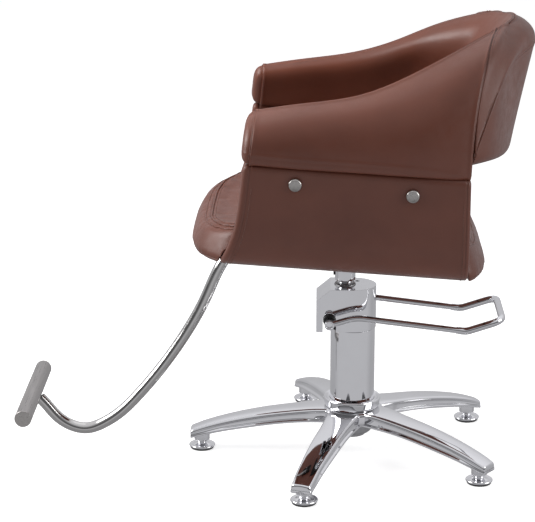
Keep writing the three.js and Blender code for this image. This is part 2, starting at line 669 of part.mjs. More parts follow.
// Screws that hold the footrest's clamp up under the seat.
function clampScrewAt(side, grow) {
  const { x, y, head, shank, top } = CLAMP_SCREW;
  const low = tilted(y, 393);
  const profile = [
    [0, low - 5], [head, low - 5], [head, low - GAP], [shank + grow, low - GAP], [shank + grow, top + grow],
    [0, top + grow],
  ];
  return turned(profile, side * x, y, SMALL);
}

const footrestClampScrew = (side) => clampScrewAt(side, 0);

// ---------------------------------------------------------------- assembly
addPiece("star_base", starBase(), chrome);
for (let number = 1; number <= ARM.count; number++) foot(number);
addPiece("hub_ring", hubRing(), chrome);
addPiece("column_tube", columnTube(), chrome);
addPiece("pump_bottom_nut", pumpBottomNut(), machinedSteel);
addPiece("pump_head", pumpHead(), chrome);
addPiece("oil_filler_screw", oilFillerScrew(), machinedSteel);
addPiece("pressure_cylinder", pressureCylinder(), machinedSteel);
addPiece("ram_gland", ramGland(), machinedSteel);
addPiece("plunger_guide", plungerGuide(), machinedSteel);
addPiece("ram", ram(), chrome);
addPiece("piston", piston(), machinedSteel);
addPiece("lever_shaft", leverShaft(), machinedSteel);
addPiece("lever_rocker", leverRocker(), machinedSteel);
addPiece("lever_pedal", leverPedal(), chrome);
addPiece("pump_plunger", pumpPlunger(), machinedSteel);
addPiece("plunger_spring", plungerSpring(), machinedSteel);
addPiece("ram_socket", ramSocket(), chrome);
addPiece("socket_set_screw", socketSetScrew(), blackPlastic);
addPiece("seat_mount_plate", seatMountPlate(), machinedSteel);
addPiece("seat_shell", seatShell(), leather);
addPiece("seat_board", seatBoard(), plywood);
addPiece("seat_cushion", seatCushion(), leather);
addPiece("back_shell", backShell(), leather);
addPiece("band_lining", bandLining(), leather);
for (const side of [1, -1]) {
  addPiece(`lever_bushing_${sideName(side)}`, leverBushing(side), blackPlastic);
  addPiece(`lever_arm_${sideName(side)}`, leverArm(side), chrome);
  addPiece(`arm_band_${sideName(side)}`, armBand(side), leather);
  addPiece(`arm_bracket_${sideName(side)}`, armBracket(side), machinedSteel);
  addPiece(`front_bolt_${sideName(side)}`, boltSolid(side, BOLT.rows[0], 0), brushedSteel);
  addPiece(`rear_bolt_${sideName(side)}`, boltSolid(side, BOLT.rows[1], 0), brushedSteel);
  addPiece(`footrest_cap_${sideName(side)}`, footrestCap(side), brushedSteel);
  addPiece(`clamp_screw_${sideName(side)}`, footrestClampScrew(side), machinedSteel);
}
addPiece("footrest_tube", footrestTube(), chrome);
addPiece("footrest_bar", footrestBar(), brushedSteel);
addPiece("footrest_bracket", footrestBracket(), machinedSteel);

export default group;
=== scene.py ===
# Styling chair: the visible surfaces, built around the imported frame. Shapes are worked out in millimetres
# from the column's axis at floor level, +X the sitter's left, -Y the front and +Z up; placed() turns them
# into the frame's metres.
import math

import bmesh
import bpy
import numpy as np
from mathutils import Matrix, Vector
from mathutils.bvhtree import BVHTree


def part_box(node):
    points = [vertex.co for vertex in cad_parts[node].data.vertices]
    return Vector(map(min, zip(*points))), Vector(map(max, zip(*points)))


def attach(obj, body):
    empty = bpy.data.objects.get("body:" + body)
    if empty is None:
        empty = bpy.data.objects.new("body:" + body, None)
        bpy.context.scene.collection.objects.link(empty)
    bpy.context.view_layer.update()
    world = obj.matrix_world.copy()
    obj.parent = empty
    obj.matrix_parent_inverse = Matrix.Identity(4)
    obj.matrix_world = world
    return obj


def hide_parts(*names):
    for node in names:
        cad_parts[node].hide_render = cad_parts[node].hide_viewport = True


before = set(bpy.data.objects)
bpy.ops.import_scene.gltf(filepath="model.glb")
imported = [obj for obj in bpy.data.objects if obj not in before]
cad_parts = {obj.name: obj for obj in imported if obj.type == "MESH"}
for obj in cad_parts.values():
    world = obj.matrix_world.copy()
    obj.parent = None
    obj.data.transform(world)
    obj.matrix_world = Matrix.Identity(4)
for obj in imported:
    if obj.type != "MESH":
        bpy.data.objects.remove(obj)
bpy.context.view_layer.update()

# ---------------------------------------------------------------- sizes read from the frame
MM = 0.001


def box_mm(node):
    """A CAD node's lowest and highest corner in millimetres, in the column's own frame."""
    low, high = (np.array(corner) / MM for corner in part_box(node))
    return low - SHIFT, high - SHIFT


column_low, column_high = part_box("column_tube")
SHIFT = np.array([0, (column_low.y + column_high.y) / 2, 0]) / MM
COLUMN_LOW, COLUMN_HIGH = box_mm("column_tube")
COLUMN_R = COLUMN_HIGH[0]
RING_LOW, RING_HIGH = box_mm("hub_ring")
HEAD_LOW, HEAD_HIGH = box_mm("pump_head")
RAM_LOW, RAM_HIGH = box_mm("ram")
LIFT_Y = (RAM_LOW[1] + RAM_HIGH[1]) / 2
SHAFT_LOW, SHAFT_HIGH = box_mm("lever_shaft")
LEVER_Y, LEVER_Z = ((SHAFT_LOW + SHAFT_HIGH) / 2)[1:]
OIL_X, OIL_Y = (sum(box_mm("oil_filler_screw")) / 2)[:2]
BAR_LOW, BAR_HIGH = box_mm("footrest_bar")
BAR_Y, BAR_Z = ((BAR_LOW + BAR_HIGH) / 2)[1:]
SHELL_HALF = box_mm("seat_shell")[1][0]

TILT = math.tan(math.radians(3.9))  # height the seat loses per millimetre towards the rear
SHELL_WALL = 27
SHELL_UNDER = 420
SHELL_TOP = 615.6
SHELL_REAR = 197
ARM_COUNT = 5
FOOT_CIRCLE = 290


SIDES = ((1, "left"), (-1, "right"))


# ---------------------------------------------------------------- curves and meshes
def placed(points):
    return (np.asarray(points, float) + SHIFT) * MM


def smooth_step(low, high, value):
    share = np.clip((value - low) / (high - low), 0, 1)
    return share * share * (3 - 2 * share)


def spline(points, knots, at):
    """A smooth curve (natural cubic spline) through points at the given knots, read at the values in at."""
    points, knots, at = np.asarray(points, float), np.asarray(knots, float), np.asarray(at, float)
    gap = np.diff(knots)
    system = np.eye(len(points))
    target = np.zeros_like(points)
    for i in range(1, len(points) - 1):
        system[i, i - 1 : i + 2] = gap[i - 1], 2 * (gap[i - 1] + gap[i]), gap[i]
        target[i] = 6 * ((points[i + 1] - points[i]) / gap[i] - (points[i] - points[i - 1]) / gap[i - 1])
    bend = np.linalg.solve(system, target)
    i = np.clip(np.searchsorted(knots, at, side="right") - 1, 0, len(points) - 2)
    a = ((knots[i + 1] - at) / gap[i])[:, None]
    b = 1 - a
    weight = (gap[i] ** 2 / 6)[:, None]
    return a * points[i] + b * points[i + 1] + ((a**3 - a) * bend[i] + (b**3 - b) * bend[i + 1]) * weight


def lengths_along(points):
    steps = np.linalg.norm(np.diff(points, axis=0), axis=1)
    return np.concatenate([[0], np.cumsum(steps)])


def evenly(points, count):
    """The same line with count points, evenly spaced along it."""
    points = np.asarray(points, float)
    along = lengths_along(points)
    at = np.linspace(0, along[-1], count)
    return np.stack([np.interp(at, along, points[:, k]) for k in range(points.shape[1])], axis=1)


def through(points, count):
    """A smooth, evenly divided curve through points that may be unevenly spaced."""
    knots = lengths_along(points)
    return evenly(spline(points, knots, np.linspace(0, knots[-1], 12 * count)), count)


def filleted(corners, steps=5):
    """Straight runs between corners, each [coordinates..., bend length], rounded at the inner corners."""
    size = min(len(corner) for corner in corners)
    points = np.array([corner[:size] for corner in corners], float)
    bends = [corner[size] if len(corner) > size else 0 for corner in corners]
    line = [points[0]]
    for i in range(1, len(points) - 1):
        before, after = points[i - 1] - points[i], points[i + 1] - points[i]
        bend = min(bends[i], 0.49 * np.linalg.norm(before), 0.49 * np.linalg.norm(after))
        if bend <= 0:
            line.append(points[i])
            continue
        enter = points[i] + before / np.linalg.norm(before) * bend
        leave = points[i] + after / np.linalg.norm(after) * bend
        for t in np.linspace(0, 1, steps):
            line.append((1 - t) ** 2 * enter + 2 * t * (1 - t) * points[i] + t * t * leave)
    return np.array([*line, points[-1]])


def grid_faces(rows, columns, closed=False, first=0):
    """Quads over a grid of points; closed joins the last column to the first."""
    faces = []
    for i in range(rows - 1):
        for j in range(columns if closed else columns - 1):
            k = (j + 1) % columns
            faces.append([first + i * columns + n for n in (j, k, columns + k, columns + j)])
    return faces


def skin(sections, caps=True):
    """Points and faces of a row of closed sections, with fans over both ends."""
    rows, columns = len(sections), len(sections[0])
    points = [np.concatenate(sections)]
    faces = grid_faces(rows, columns, closed=True)
    if caps:
        for row in (0, rows - 1):
            centre = rows * columns + len(points) - 1
            points.append(np.mean(sections[row], axis=0)[None])
            ring = [row * columns + j for j in range(columns)]
            faces += [[ring[j], ring[(j + 1) % columns], centre] for j in range(columns)]
    return np.concatenate(points), faces


def mirrored_skin(sections):
    """Points and faces of a row of closed sections alike left and right, with ends in strips across."""
    points, faces = skin(sections, caps=False)
    around = len(sections[0])
    for first in (0, len(points) - around):
        for k in range(around // 2):
            strip = dict.fromkeys([k, k + 1, around - k - 1, (around - k) % around])
            faces.append([first + n for n in strip])
    return points, faces


def joined(parts):
    """Several (points, faces) put together as one."""
    points, faces, first = [], [], 0
    for part_points, part_faces in parts:
        points.append(part_points)
        faces += [[first + n for n in face] for face in part_faces]
        first += len(part_points)
    return np.concatenate(points), faces


def moved(part, turn=None, by=(0, 0, 0)):
    points, faces = part
    turned_points = points if turn is None else points @ np.array(turn).T
    return turned_points + np.array(by, float), faces


def frames_along(route):
    """Unit tangents of a route and a pair of sideways vectors that turn as little as possible."""
    tangent = np.gradient(route, axis=0)
    tangent /= np.linalg.norm(tangent, axis=1)[:, None]
    side = np.cross(tangent[0], [0, 0, 1.0] if abs(tangent[0][2]) < 0.9 else [1.0, 0, 0])
    sides = []
    for t in tangent:
        side = side - t * (side @ t)
        side /= np.linalg.norm(side)
        sides.append(side)
    sides = np.array(sides)
    return tangent, sides, np.cross(tangent, sides)


def tube(route, radius, around=16, round_ends=True):
    """A round tube along a route, with domed or flat ends."""
    tangent, side, up = frames_along(route)
    radii = np.full(len(route), float(radius))
    if round_ends:
        angles = np.radians([90, 60, 30])
        head = route[0] - tangent[0] * radius * np.sin(angles)[:, None]
        tail = route[-1] + tangent[-1] * radius * np.sin(angles[::-1])[:, None]
        route = np.concatenate([head, route, tail])
        small = radius * np.cos(angles) + 0.02
        radii = np.concatenate([small, radii, small[::-1]])
        side = np.concatenate([np.repeat(side[:1], 3, 0), side, np.repeat(side[-1:], 3, 0)])
        up = np.concatenate([np.repeat(up[:1], 3, 0), up, np.repeat(up[-1:], 3, 0)])
    turn = np.linspace(0, 2 * math.pi, around, endpoint=False)
    sections = [
        route[i] + radii[i] * (np.cos(turn)[:, None] * side[i] + np.sin(turn)[:, None] * up[i])
        for i in range(len(route))
    ]
    return skin(sections)


def turned(profile, x=0, y=0, sides=72):
    """A round solid about a vertical axis, from [radius, height, bend] corners that start and end on it."""
    outline = filleted(profile)
    angle = np.linspace(0, 2 * math.pi, sides, endpoint=False)
    rings = [np.stack([x + r * np.cos(angle), y + r * np.sin(angle), angle * 0 + z], 1) for r, z in outline]
    return skin(rings, caps=False)


TO_X = [[0, 0, 1], [0, 1, 0], [-1, 0, 0]]  # turns a vertical axis to lie along X


def turned_across(profile, y, z, sides=48, side=1):
    """A round solid about an axis along X, from [radius, x, bend] corners; side -1 mirrors it in X."""
    mirrored = [(radius, side * x, *bend) for radius, x, *bend in profile]
    return moved(turned(mirrored, sides=sides), TO_X, (0, y, z))


def linked(name, data):
    obj = bpy.data.objects.new(name, data)
    bpy.context.scene.collection.objects.link(obj)
    return obj


def solid(part, name="cutter", merge=1e-6, dissolve=0):
    """An object made from points and faces, with points nearer than merge (in metres) joined."""
    points, faces = part
    mesh = bpy.data.meshes.new(name)
    mesh.from_pydata(placed(points).tolist(), [], [list(map(int, face)) for face in faces])
    work = bmesh.new()
    work.from_mesh(mesh)
    bmesh.ops.remove_doubles(work, verts=work.verts, dist=merge)
    if dissolve:
        bmesh.ops.dissolve_degenerate(work, edges=work.edges, dist=dissolve)
    bmesh.ops.recalc_face_normals(work, faces=work.faces)
    work.to_mesh(mesh)
    work.free()
    return linked(name, mesh)


def add_piece(name, part, look, body, replaces=(), sharp=None):
    """Makes a piece from points and faces, riding on a CAD body and standing for the CAD nodes named."""
    return finished(solid(part, name, 2e-6, 1e-6), look, body, replaces, sharp)


def finished(obj, look, body, replaces=(), sharp=None):
    obj.data.materials.clear()
    obj.data.materials.append(look)
    obj.data.shade_smooth()
    if sharp is not None:
        obj.data.set_sharp_from_angle(angle=math.radians(sharp))
    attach(obj, body)
    if replaces:
        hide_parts(*replaces)
    return obj


def baked(obj):
    """Replaces an object's mesh by the result of its modifiers."""
    evaluated = obj.evaluated_get(bpy.context.evaluated_depsgraph_get())
    mesh = bpy.data.meshes.new_from_object(evaluated)
    obj.modifiers.clear()
    obj.data = mesh
    return obj


def vectors(items, field):
    """One vector field of a mesh's points, as an array."""
    found = np.zeros(len(items) * 3, np.float32)
    items.foreach_get(field, found)
    return found.reshape(-1, 3).astype(float)


def coordinates(mesh):
    return vectors(mesh.vertices, "co")


def set_coordinates(mesh, points):
    mesh.vertices.foreach_set("co", points.astype(np.float32).ravel())
    mesh.update()


def soften_edges(obj, width, angle):
    bevel = obj.modifiers.new("edges", "BEVEL")
    bevel.width = width * MM
    bevel.segments = 3
    bevel.limit_method = "ANGLE"
    bevel.angle_limit = math.radians(angle)
    bevel.harden_normals = True


# ---------------------------------------------------------------- materials
def fill_inputs(tree, pairs):
    """Gives each socket its value, or links an output to it."""
    for socket, value in pairs:
        if isinstance(value, bpy.types.NodeSocket):
            tree.links.new(value, socket)
        else:
            socket.default_value = value


def named_inputs(node, values):
    """Pairs of socket and value, from values named as the sockets are, with _ for a space."""
    return [(node.inputs[key.replace("_", " ")], value) for key, value in values.items()]


def new_node(tree, kind, *inputs, **named):
    """A shader node with its inputs given in order or by name."""
    node = tree.nodes.new(kind)
    fill_inputs(tree, [*zip(node.inputs, inputs), *named_inputs(node, named)])
    return node


def color_ramp(tree, value, stops, interpolation="LINEAR"):
    """Turns a value into a colour by stops, each a position and a colour."""
    node = new_node(tree, "ShaderNodeValToRGB", value)
    node.color_ramp.interpolation = interpolation
    for i, (position, color) in enumerate(stops):
        stop = node.color_ramp.elements[i] if i < 2 else node.color_ramp.elements.new(position)
        stop.position = position
        stop.color = (*color, 1)
    return node.outputs["Color"]


class Look:
    """A node material under construction: short calls for its textures."""

    def __init__(self, name, **values):
        self.material = bpy.data.materials.new(name)
        self.material.use_nodes = True
        self.tree = self.material.node_tree
        self.shader = self.tree.nodes["Principled BSDF"]
        self.where = new_node(self.tree, "ShaderNodeTexCoord").outputs["Object"]
        self.set(**values)

    def set(self, **values):
        fill_inputs(self.tree, named_inputs(self.shader, values))

    def stretched(self, scale):
        return new_node(self.tree, "ShaderNodeMapping", Vector=self.where, Scale=scale).outputs["Vector"]

    def noise(self, scale, detail=3, where=None):
        node = new_node(self.tree, "ShaderNodeTexNoise", Vector=where or self.where, Scale=scale,
                        Detail=detail, Roughness=0.55)
        return node.outputs["Fac"]

    def cells(self, scale):
        node = new_node(self.tree, "ShaderNodeTexVoronoi", Vector=self.where, Scale=scale)
        node.feature = "DISTANCE_TO_EDGE"
        return node.outputs["Distance"]

    def ramp(self, value, *stops):
        return color_ramp(self.tree, value, stops)

    def spread(self, value, low, high):
        """A noise value, which lies mostly between 0.3 and 0.7, stretched to run from low to high."""
        node = new_node(self.tree, "ShaderNodeMapRange", value, 0.3, 0.7, low, high)
        return node.outputs["Result"]

    def bumps(self, *layers):
        """Each layer is (height output, strength, distance in millimetres)."""
        normal = {}
        for height, strength, distance in layers:
            bump = new_node(self.tree, "ShaderNodeBump", Height=height, Strength=strength,
                            Distance=distance * MM, **normal)
            normal = {"Normal": bump.outputs["Normal"]}
        self.set(**normal)


def toned(color, share):
    return tuple(share * channel for channel in color)


def brown_leather(name, dark=(0.092, 0.026, 0.014), light=(0.122, 0.036, 0.020), grain=0.22):
    look = Look(name, Specular_IOR_Level=0.5)
    look.set(Base_Color=look.ramp(look.noise(9, detail=4), (0.25, dark), (0.75, light)),
             Roughness=look.spread(look.noise(60), 0.32, 0.44))
    pores = look.ramp(look.cells(950), (0.0, (0, 0, 0)), (0.22, (1, 1, 1)))
    look.bumps((look.noise(22, detail=2), 0.10, 1.5), (look.noise(420), 0.12, 0.4), (pores, grain, 0.18))
    return look.material


def mirror_chrome(name, color=(0.80, 0.80, 0.82), low=0.02, high=0.07):
    look = Look(name, Metallic=1.0)
    look.set(Base_Color=look.ramp(look.noise(14), (0.2, toned(color, 0.94)), (0.8, color)),
             Roughness=look.spread(look.noise(45, detail=5), low, high))
    scratches = look.noise(800, where=look.stretched((1, 1, 0.1)))
    look.bumps((look.noise(7, detail=1), 0.05, 0.6), (scratches, 0.02, 0.05))
    return look.material


def brushed(name, stretch, color=(0.44, 0.42, 0.41), low=0.24, high=0.42):
    """Steel with fine lines drawn out along one direction by the stretch of the noise."""
    look = Look(name, Metallic=1.0, Anisotropic=0.4)
    lines = look.noise(520, detail=4, where=look.stretched(stretch))
    look.set(Base_Color=look.ramp(lines, (0.2, toned(color, 0.75)), (0.8, toned(color, 1.15))),
             Roughness=look.spread(lines, low, high))
    look.bumps((lines, 0.10, 0.08))
    return look.material


def moulded(name, dark, light, low, high, scale=300):
    """Plastic or rubber: fine mould texture and a little unevenness in tone."""
    look = Look(name)
    look.set(Base_Color=look.ramp(look.noise(30), (0.2, dark), (0.8, light)),
             Roughness=look.spread(look.noise(90), low, high))
    look.bumps((look.noise(scale, detail=5), 0.15, 0.2))
    return look.material


def layered_wood(name):
    look = Look(name)
    streaks = look.noise(60, detail=6, where=look.stretched((1, 0.08, 3)))
    look.set(Base_Color=look.ramp(streaks, (0.3, (0.30, 0.17, 0.08)), (0.7, (0.52, 0.34, 0.19))),
             Roughness=look.spread(streaks, 0.55, 0.75))
    look.bumps((streaks, 0.2, 0.3))
    return look.material


leather = brown_leather("leather_panel")
leather_welt = brown_leather("leather_welt", (0.080, 0.022, 0.012), (0.120, 0.038, 0.022), 0.10)
thread = moulded("stitching_thread", (0.070, 0.022, 0.013), (0.15, 0.065, 0.045), 0.55, 0.75, 1500)
chrome = mirror_chrome("cast_chrome")
tube_chrome = mirror_chrome("drawn_tube_chrome", (0.62, 0.61, 0.60), 0.07, 0.16)
steel_bar = brushed("brushed_bar", (0.03, 1, 1))
steel_turned = brushed("turned_steel", (1, 0.6, 0.6), (0.50, 0.48, 0.46), 0.26, 0.40)
machined = brushed("machined_steel", (1, 1, 0.08), (0.42, 0.42, 0.43), 0.28, 0.42)
dark_steel = brushed("blackened_steel", (1, 1, 0.2), (0.035, 0.033, 0.032), 0.4, 0.55)
rubber = moulded("foot_rubber", (0.012, 0.012, 0.012), (0.03, 0.03, 0.03), 0.65, 0.85)
plastic = moulded("black_plastic", (0.010, 0.010, 0.011), (0.022, 0.022, 0.024), 0.32, 0.5)
wood = layered_wood("seat_board_ply")


# ---------------------------------------------------------------- upholstery helpers
def trimmed(points, start, end):
    along = lengths_along(points)
    at = np.linspace(start, along[-1] - end, len(points))
    return np.stack([np.interp(at, along, points[:, k]) for k in range(3)], axis=1)


def joined_runs(runs, bends, count):
    """Runs that meet end to end, with each corner between them rounded by its bend."""
    line = [trimmed(runs[0], 0, bends[0])]
    for i, run in enumerate(runs[1:], start=1):
        rest = trimmed(run, bends[i - 1], bends[i] if i < len(bends) else 0)
        t = np.linspace(0, 1, 7)[1:-1, None]
        line.append((1 - t) ** 2 * line[-1][-1] + 2 * t * (1 - t) * run[0] + t * t * rest[0])
        line.append(rest)
    return evenly(np.concatenate(line), count)


def surface_normals(grid):
    normal = np.cross(np.gradient(grid, axis=0), np.gradient(grid, axis=1))
    return normal / np.maximum(np.linalg.norm(normal, axis=2), 1e-9)[..., None]


def edge_distances(grid):
    """Distance of each grid point from the four edges: first row, last row, first column, last column."""
    rows = np.linalg.norm(np.diff(grid, axis=0), axis=2)
    columns = np.linalg.norm(np.diff(grid, axis=1), axis=2)
    from_first = np.concatenate([np.zeros((1, grid.shape[1])), np.cumsum(rows, axis=0)])
    from_left = np.concatenate([np.zeros((grid.shape[0], 1)), np.cumsum(columns, axis=1)], axis=1)
    return from_first, from_first[-1] - from_first, from_left, from_left[:, -1:] - from_left


def tucked(grid, depths, reach=5.0, lines=()):
    """Draws a panel in along its four edges, by one depth for each, and along lines (edge, distance)."""
    away = edge_distances(grid)
    pull = sum(depth * np.exp(-((away[k] / reach) ** 2)) for k, depth in enumerate(depths))
    for edge, distance in lines:
        pull = pull + 0.9 * np.exp(-(((away[edge] - distance) / 2.2) ** 2))
    return grid + surface_normals(grid) * pull[..., None]


def thick_sheet(grid, thickness=4):
    """A closed sheet: the grid, the same grid moved inwards, and a strip round the edge."""
    rows, columns = grid.shape[:2]
    back = grid + surface_normals(grid) * thickness
    points = np.concatenate([grid.reshape(-1, 3), back.reshape(-1, 3)])
    faces = grid_faces(rows, columns) + grid_faces(rows, columns, first=rows * columns)
    rim = [j for j in range(columns)]
    rim += [i * columns + columns - 1 for i in range(1, rows)]
    rim += [(rows - 1) * columns + j for j in range(columns - 2, -1, -1)]
    rim += [i * columns for i in range(rows - 2, 0, -1)]
    depth = rows * columns
    ahead = rim[1:] + rim[:1]
    faces += [[a, b, b + depth, a + depth] for a, b in zip(rim, ahead)]
    return points, faces


def line_at(grid, edge, distance):
    """A line on the grid, with its normals, at a distance from one edge, numbered as in edge_distances."""
    away = edge_distances(grid)[edge]
    both = np.concatenate([grid, surface_normals(grid)], axis=2)
    if edge < 2:
        away, both = away.T, both.transpose(1, 0, 2)
    found = []
    for far, line in zip(away, both):
        order = np.argsort(far)
        found.append([np.interp(distance, far[order], line[order, c]) for c in range(6)])
    found = np.array(found)
    return found[:, :3], found[:, 3:]


def stitches(line, normal, pitch=6.0, length=4.2, radius=0.55, lift=0.15):
    """Short threads laid end to end along a line on a surface."""
    along = lengths_along(line)
    count = int(along[-1] / pitch)
    parts = []
    for k in range(1, count):
        middle = along[-1] * k / count
        at = np.linspace(middle - length / 2, middle + length / 2, 5)
        path = np.stack([np.interp(at, along, line[:, c]) for c in range(3)], 1)
        up = np.array([np.interp(middle, along, normal[:, c]) for c in range(3)])
        up /= np.linalg.norm(up)
        arch = np.array([-0.35, 0.1, 0.3, 0.1, -0.35]) + lift
        parts.append(tube(path + up * arch[:, None], radius, around=6))
    return joined(parts)


def upholstery(name, part, replaces=(), look=None):
    obj = add_piece(name, part, look or leather, "seat", replaces)
    return obj


# ---------------------------------------------------------------- arm and back band
# Lines from the left arm's front to the middle of the back, at nine stations; the arm's outer panel meets
# the back's at station SEAM. They carry on mirrored to the right arm.
SEAM = 5
MIDDLE = 8
LAST = 2 * MIDDLE
HEM = [
    [287, -188, 632.5], [289, -95, 625], [290, 0, 619.5], [289, 85, 613.5], [284, 145, 608.5],
    [273, 194, 604.5], [225, 232, 604], [125, 266, 602], [0, 279, 601],
]
FLANK = [[284, -184, 664], [284, -95, 668], [283, 0, 674], [281, 85, 682], [277, 145, 692], [262, 202, 706]]
BROW = [
    [262, -180, 694], [263, -95, 703], [259, 0, 715], [247, 88, 738], [232, 155, 770],
    [205, 224, 800], [150, 258, 812], [75, 296, 825], [0, 314, 828],
]
RIDGE = [
    [221, -177, 708], [222, -95, 720], [219, 0, 734], [198, 88, 764], [168, 170, 802],
    [98, 250, 833], [63, 271, 839], [31, 284, 842], [0, 287, 843],
]
LIP = [
    [213, -177, 701], [213, -95, 712], [209, 0, 725], [187, 84, 754], [155, 160, 790],
    [91, 234, 820], [59, 255, 827], [29, 266, 830], [0, 269, 831],
]
LINING = [
    [222, -180, 670], [222, -95, 676], [219, 0, 685], [205, 78, 700], [183, 134, 716],
    [143, 186, 728], [100, 209, 732], [50, 223, 735], [0, 227, 736],
]
FOOT = [
    [240, -184, 632.5], [241, -95, 625], [241, 0, 619.5], [237, 76, 613.5], [227, 125, 609],
    [204, 165, 611], [158, 198, 622], [86, 220, 613], [0, 230, 603],
]
# The back's own lines, from station SEAM to the middle: its lower edge, which starts above the arm's
# corner, the crease between its two panels, and the fullest line of the upper one.
BACK_HEM = [[272, 196, 631], [225, 232, 625], [125, 266, 612], [0, 279, 602]]
LINING_EDGE = [*HEM[:SEAM], [272, 196, 618], *BACK_HEM[1:]]
CREASE = [[269, 199, 645], [207, 245, 756], [110, 283, 790], [0, 323, 802]]
SHOULDER = [[262, 202, 706], [186, 256, 779], [95, 293, 809], [0, 322, 815]]


def band_line(line, at):
    """A band line from arm to arm, or a back line from seam to seam, read at stations from 0 to LAST."""
    whole = [*line, *([-x, y, z] for x, y, z in reversed(line[:-1]))]
    first = MIDDLE + 1 - len(line)
    return spline(whole, range(first, first + len(whole)), at)


def band_sections(at, make):
    """One section for each station, from a function that is given a reader of band lines."""
    lines = {}

    def read(line, k):
        key = id(line)
        if key not in lines:
            lines[key] = spline(line, range(len(line)), at) if line is FLANK else band_line(line, at)
        return lines[key][k]

    return np.array([make(lambda line, k=k: read(line, k)) for k in range(len(at))])


def halfway_under(read, hem):
    return (read(FOOT) + read(hem)) / 2


def arm_section(read):
    under = np.array([halfway_under(read, HEM), read(HEM)])
    outer = through([read(HEM), read(FLANK), read(BROW), read(RIDGE)], 50)
    return joined_runs([evenly(under, 20), outer], [5], 72)


def lower_back_section(read):
    hem, crease = read(BACK_HEM), read(CREASE)
    under = np.array([halfway_under(read, BACK_HEM), hem])
    return joined_runs([evenly(under, 20), evenly([hem, crease], 30)], [19], 56)


def upper_back_section(read):
    return through([read(CREASE), read(SHOULDER), read(BROW), read(RIDGE)], 50)


def lining_section(read):
    inner = through([read(RIDGE), read(RIDGE) * 0.8 + read(LIP) * 0.2 + [0, 0, 0.8], read(LIP),
                     read(LINING), read(FOOT)], 60)
    under = evenly([read(FOOT), halfway_under(read, LINING_EDGE) + [0, 0, 0.6]], 12)
    return joined_runs([inner, under], [7], 72)


def arm_end_section(side_share):
    """The arm's small end face under the back's lower corner, from the outside inwards."""
    arm_corner, back_corner = np.array(HEM[SEAM], float), np.array(BACK_HEM[0], float)
    inner = np.array(FOOT[SEAM], float)
    low = arm_corner * (1 - side_share) + inner * side_share
    high = back_corner * (1 - side_share) + (inner + [0, 0, 12]) * side_share
    return evenly([low, high], 8)


def flipped(part, side):
    points, faces = part
    return (points if side > 0 else points * [-1, 1, 1]), faces


def arm_front(outer, inner, forward=17, steps=12):
    """The rounded pad that closes the arm's front: rings that shrink as they come forward."""
    outline = np.concatenate([outer[0], inner[0][1:-1]])
    centre = outline.mean(axis=0)
    rings = [outline + [0, 9, 0], outline + [0, 0.5, 0]]
    for turn in np.linspace(0, math.radians(88), steps)[1:]:
        shrink = math.cos(turn) ** 0.5
        ring = centre + (outline - centre) * shrink
        ring[:, 1] -= forward * math.sin(turn)
        rings.append(ring)
    return skin(rings)


def band_pieces():
    """The wrap-round arm and back band with its welts and stitching."""
    along_arm, along_back = np.linspace(0, SEAM, 100), np.linspace(SEAM, LAST - SEAM, 150)
    arm = band_sections(along_arm, arm_section)
    lower = band_sections(along_back, lower_back_section)
    upper = band_sections(along_back, upper_back_section)
    lining = band_sections(np.linspace(0, LAST, 260), lining_section)
    under = np.linalg.norm(np.subtract(FOOT, HEM), axis=1).mean() / 2
    arm = tucked(arm, (1.8, 2.2, 0, 2.0), lines=[(2, under + 8)])
    lower = tucked(lower, (2.0, 2.0, 0, 1.2))
    upper = tucked(upper, (2.2, 2.2, 1.2, 2.0))
    lining = tucked(lining, (1.6, 1.6, 1.6, 0))
    front = arm_front(arm, lining)
    end = np.array([arm_end_section(share) for share in np.linspace(0, 1, 8)])
    for side, name in SIDES:
        upholstery(f"arm_panel_{name}", flipped(thick_sheet(arm), side), [f"arm_band_{name}"])
        upholstery(f"arm_front_pad_{name}", flipped(front, side))
        upholstery(f"arm_end_{name}", flipped(thick_sheet(end, 2), side))
        seams = [tube(arm[-1], 2.0, 10), tube(arm[0] + [0, -0.6, 0], 1.3, 8)]
        upholstery(f"arm_welts_{name}", flipped(joined(seams), side), look=leather_welt)
        rows = [stitches(*line_at(*row)) for row in ((arm, 0, 9), (upper, 0, 9), (arm, 3, 5))]
        upholstery(f"arm_stitching_{name}", flipped(joined(rows), side), look=thread)
    upholstery("back_upper_panel", thick_sheet(upper), ["back_shell"])
    upholstery("back_lower_panel", thick_sheet(lower), ["back_shell"])
    upholstery("back_lining", thick_sheet(lining), ["band_lining"])
    upholstery("ridge_welt", tube(lining[:, 0] + [0, 0, 1.0], 2.2, 10), look=leather_welt)
    upholstery("crease_welt", tube(upper[:, 0], 1.7, 8), look=leather_welt)


band_pieces()


# ---------------------------------------------------------------- lower shell
# The shell's front edge as (height in the leaning seat's own measure, y).
SHELL_FRONT = [
    [424, -243], [430, -240], [447, -233], [466, -225], [489, -217.5], [512, -212], [542, -207],
    [570, -203.5], [594, -201], [610, -199], [616, -198],
]


def shell_front(level):
    heights, depths = np.array(SHELL_FRONT, float).T
    return np.interp(level, heights, depths)


def shell_outline(inset, steps=14):
    """Half U section of the padded shell drawn in by inset: the outer line, then as many inner points."""
    floor_inset = min(inset, 5.0)
    half, under, top = SHELL_HALF - inset, SHELL_UNDER + floor_inset, SHELL_TOP - inset
    inner, inside = SHELL_HALF - SHELL_WALL + inset, SHELL_UNDER + 12 - floor_inset
    middle = SHELL_HALF - SHELL_WALL / 2
    outer = filleted([(middle, top), (half, top, 8), (half, under, 72 - inset), (0, under)], steps)
    inner = filleted([(middle, top), (inner, top, 8), (inner, inside, 60 + inset), (0, inside)], steps)
    return evenly(outer, 76), evenly(inner, 76)


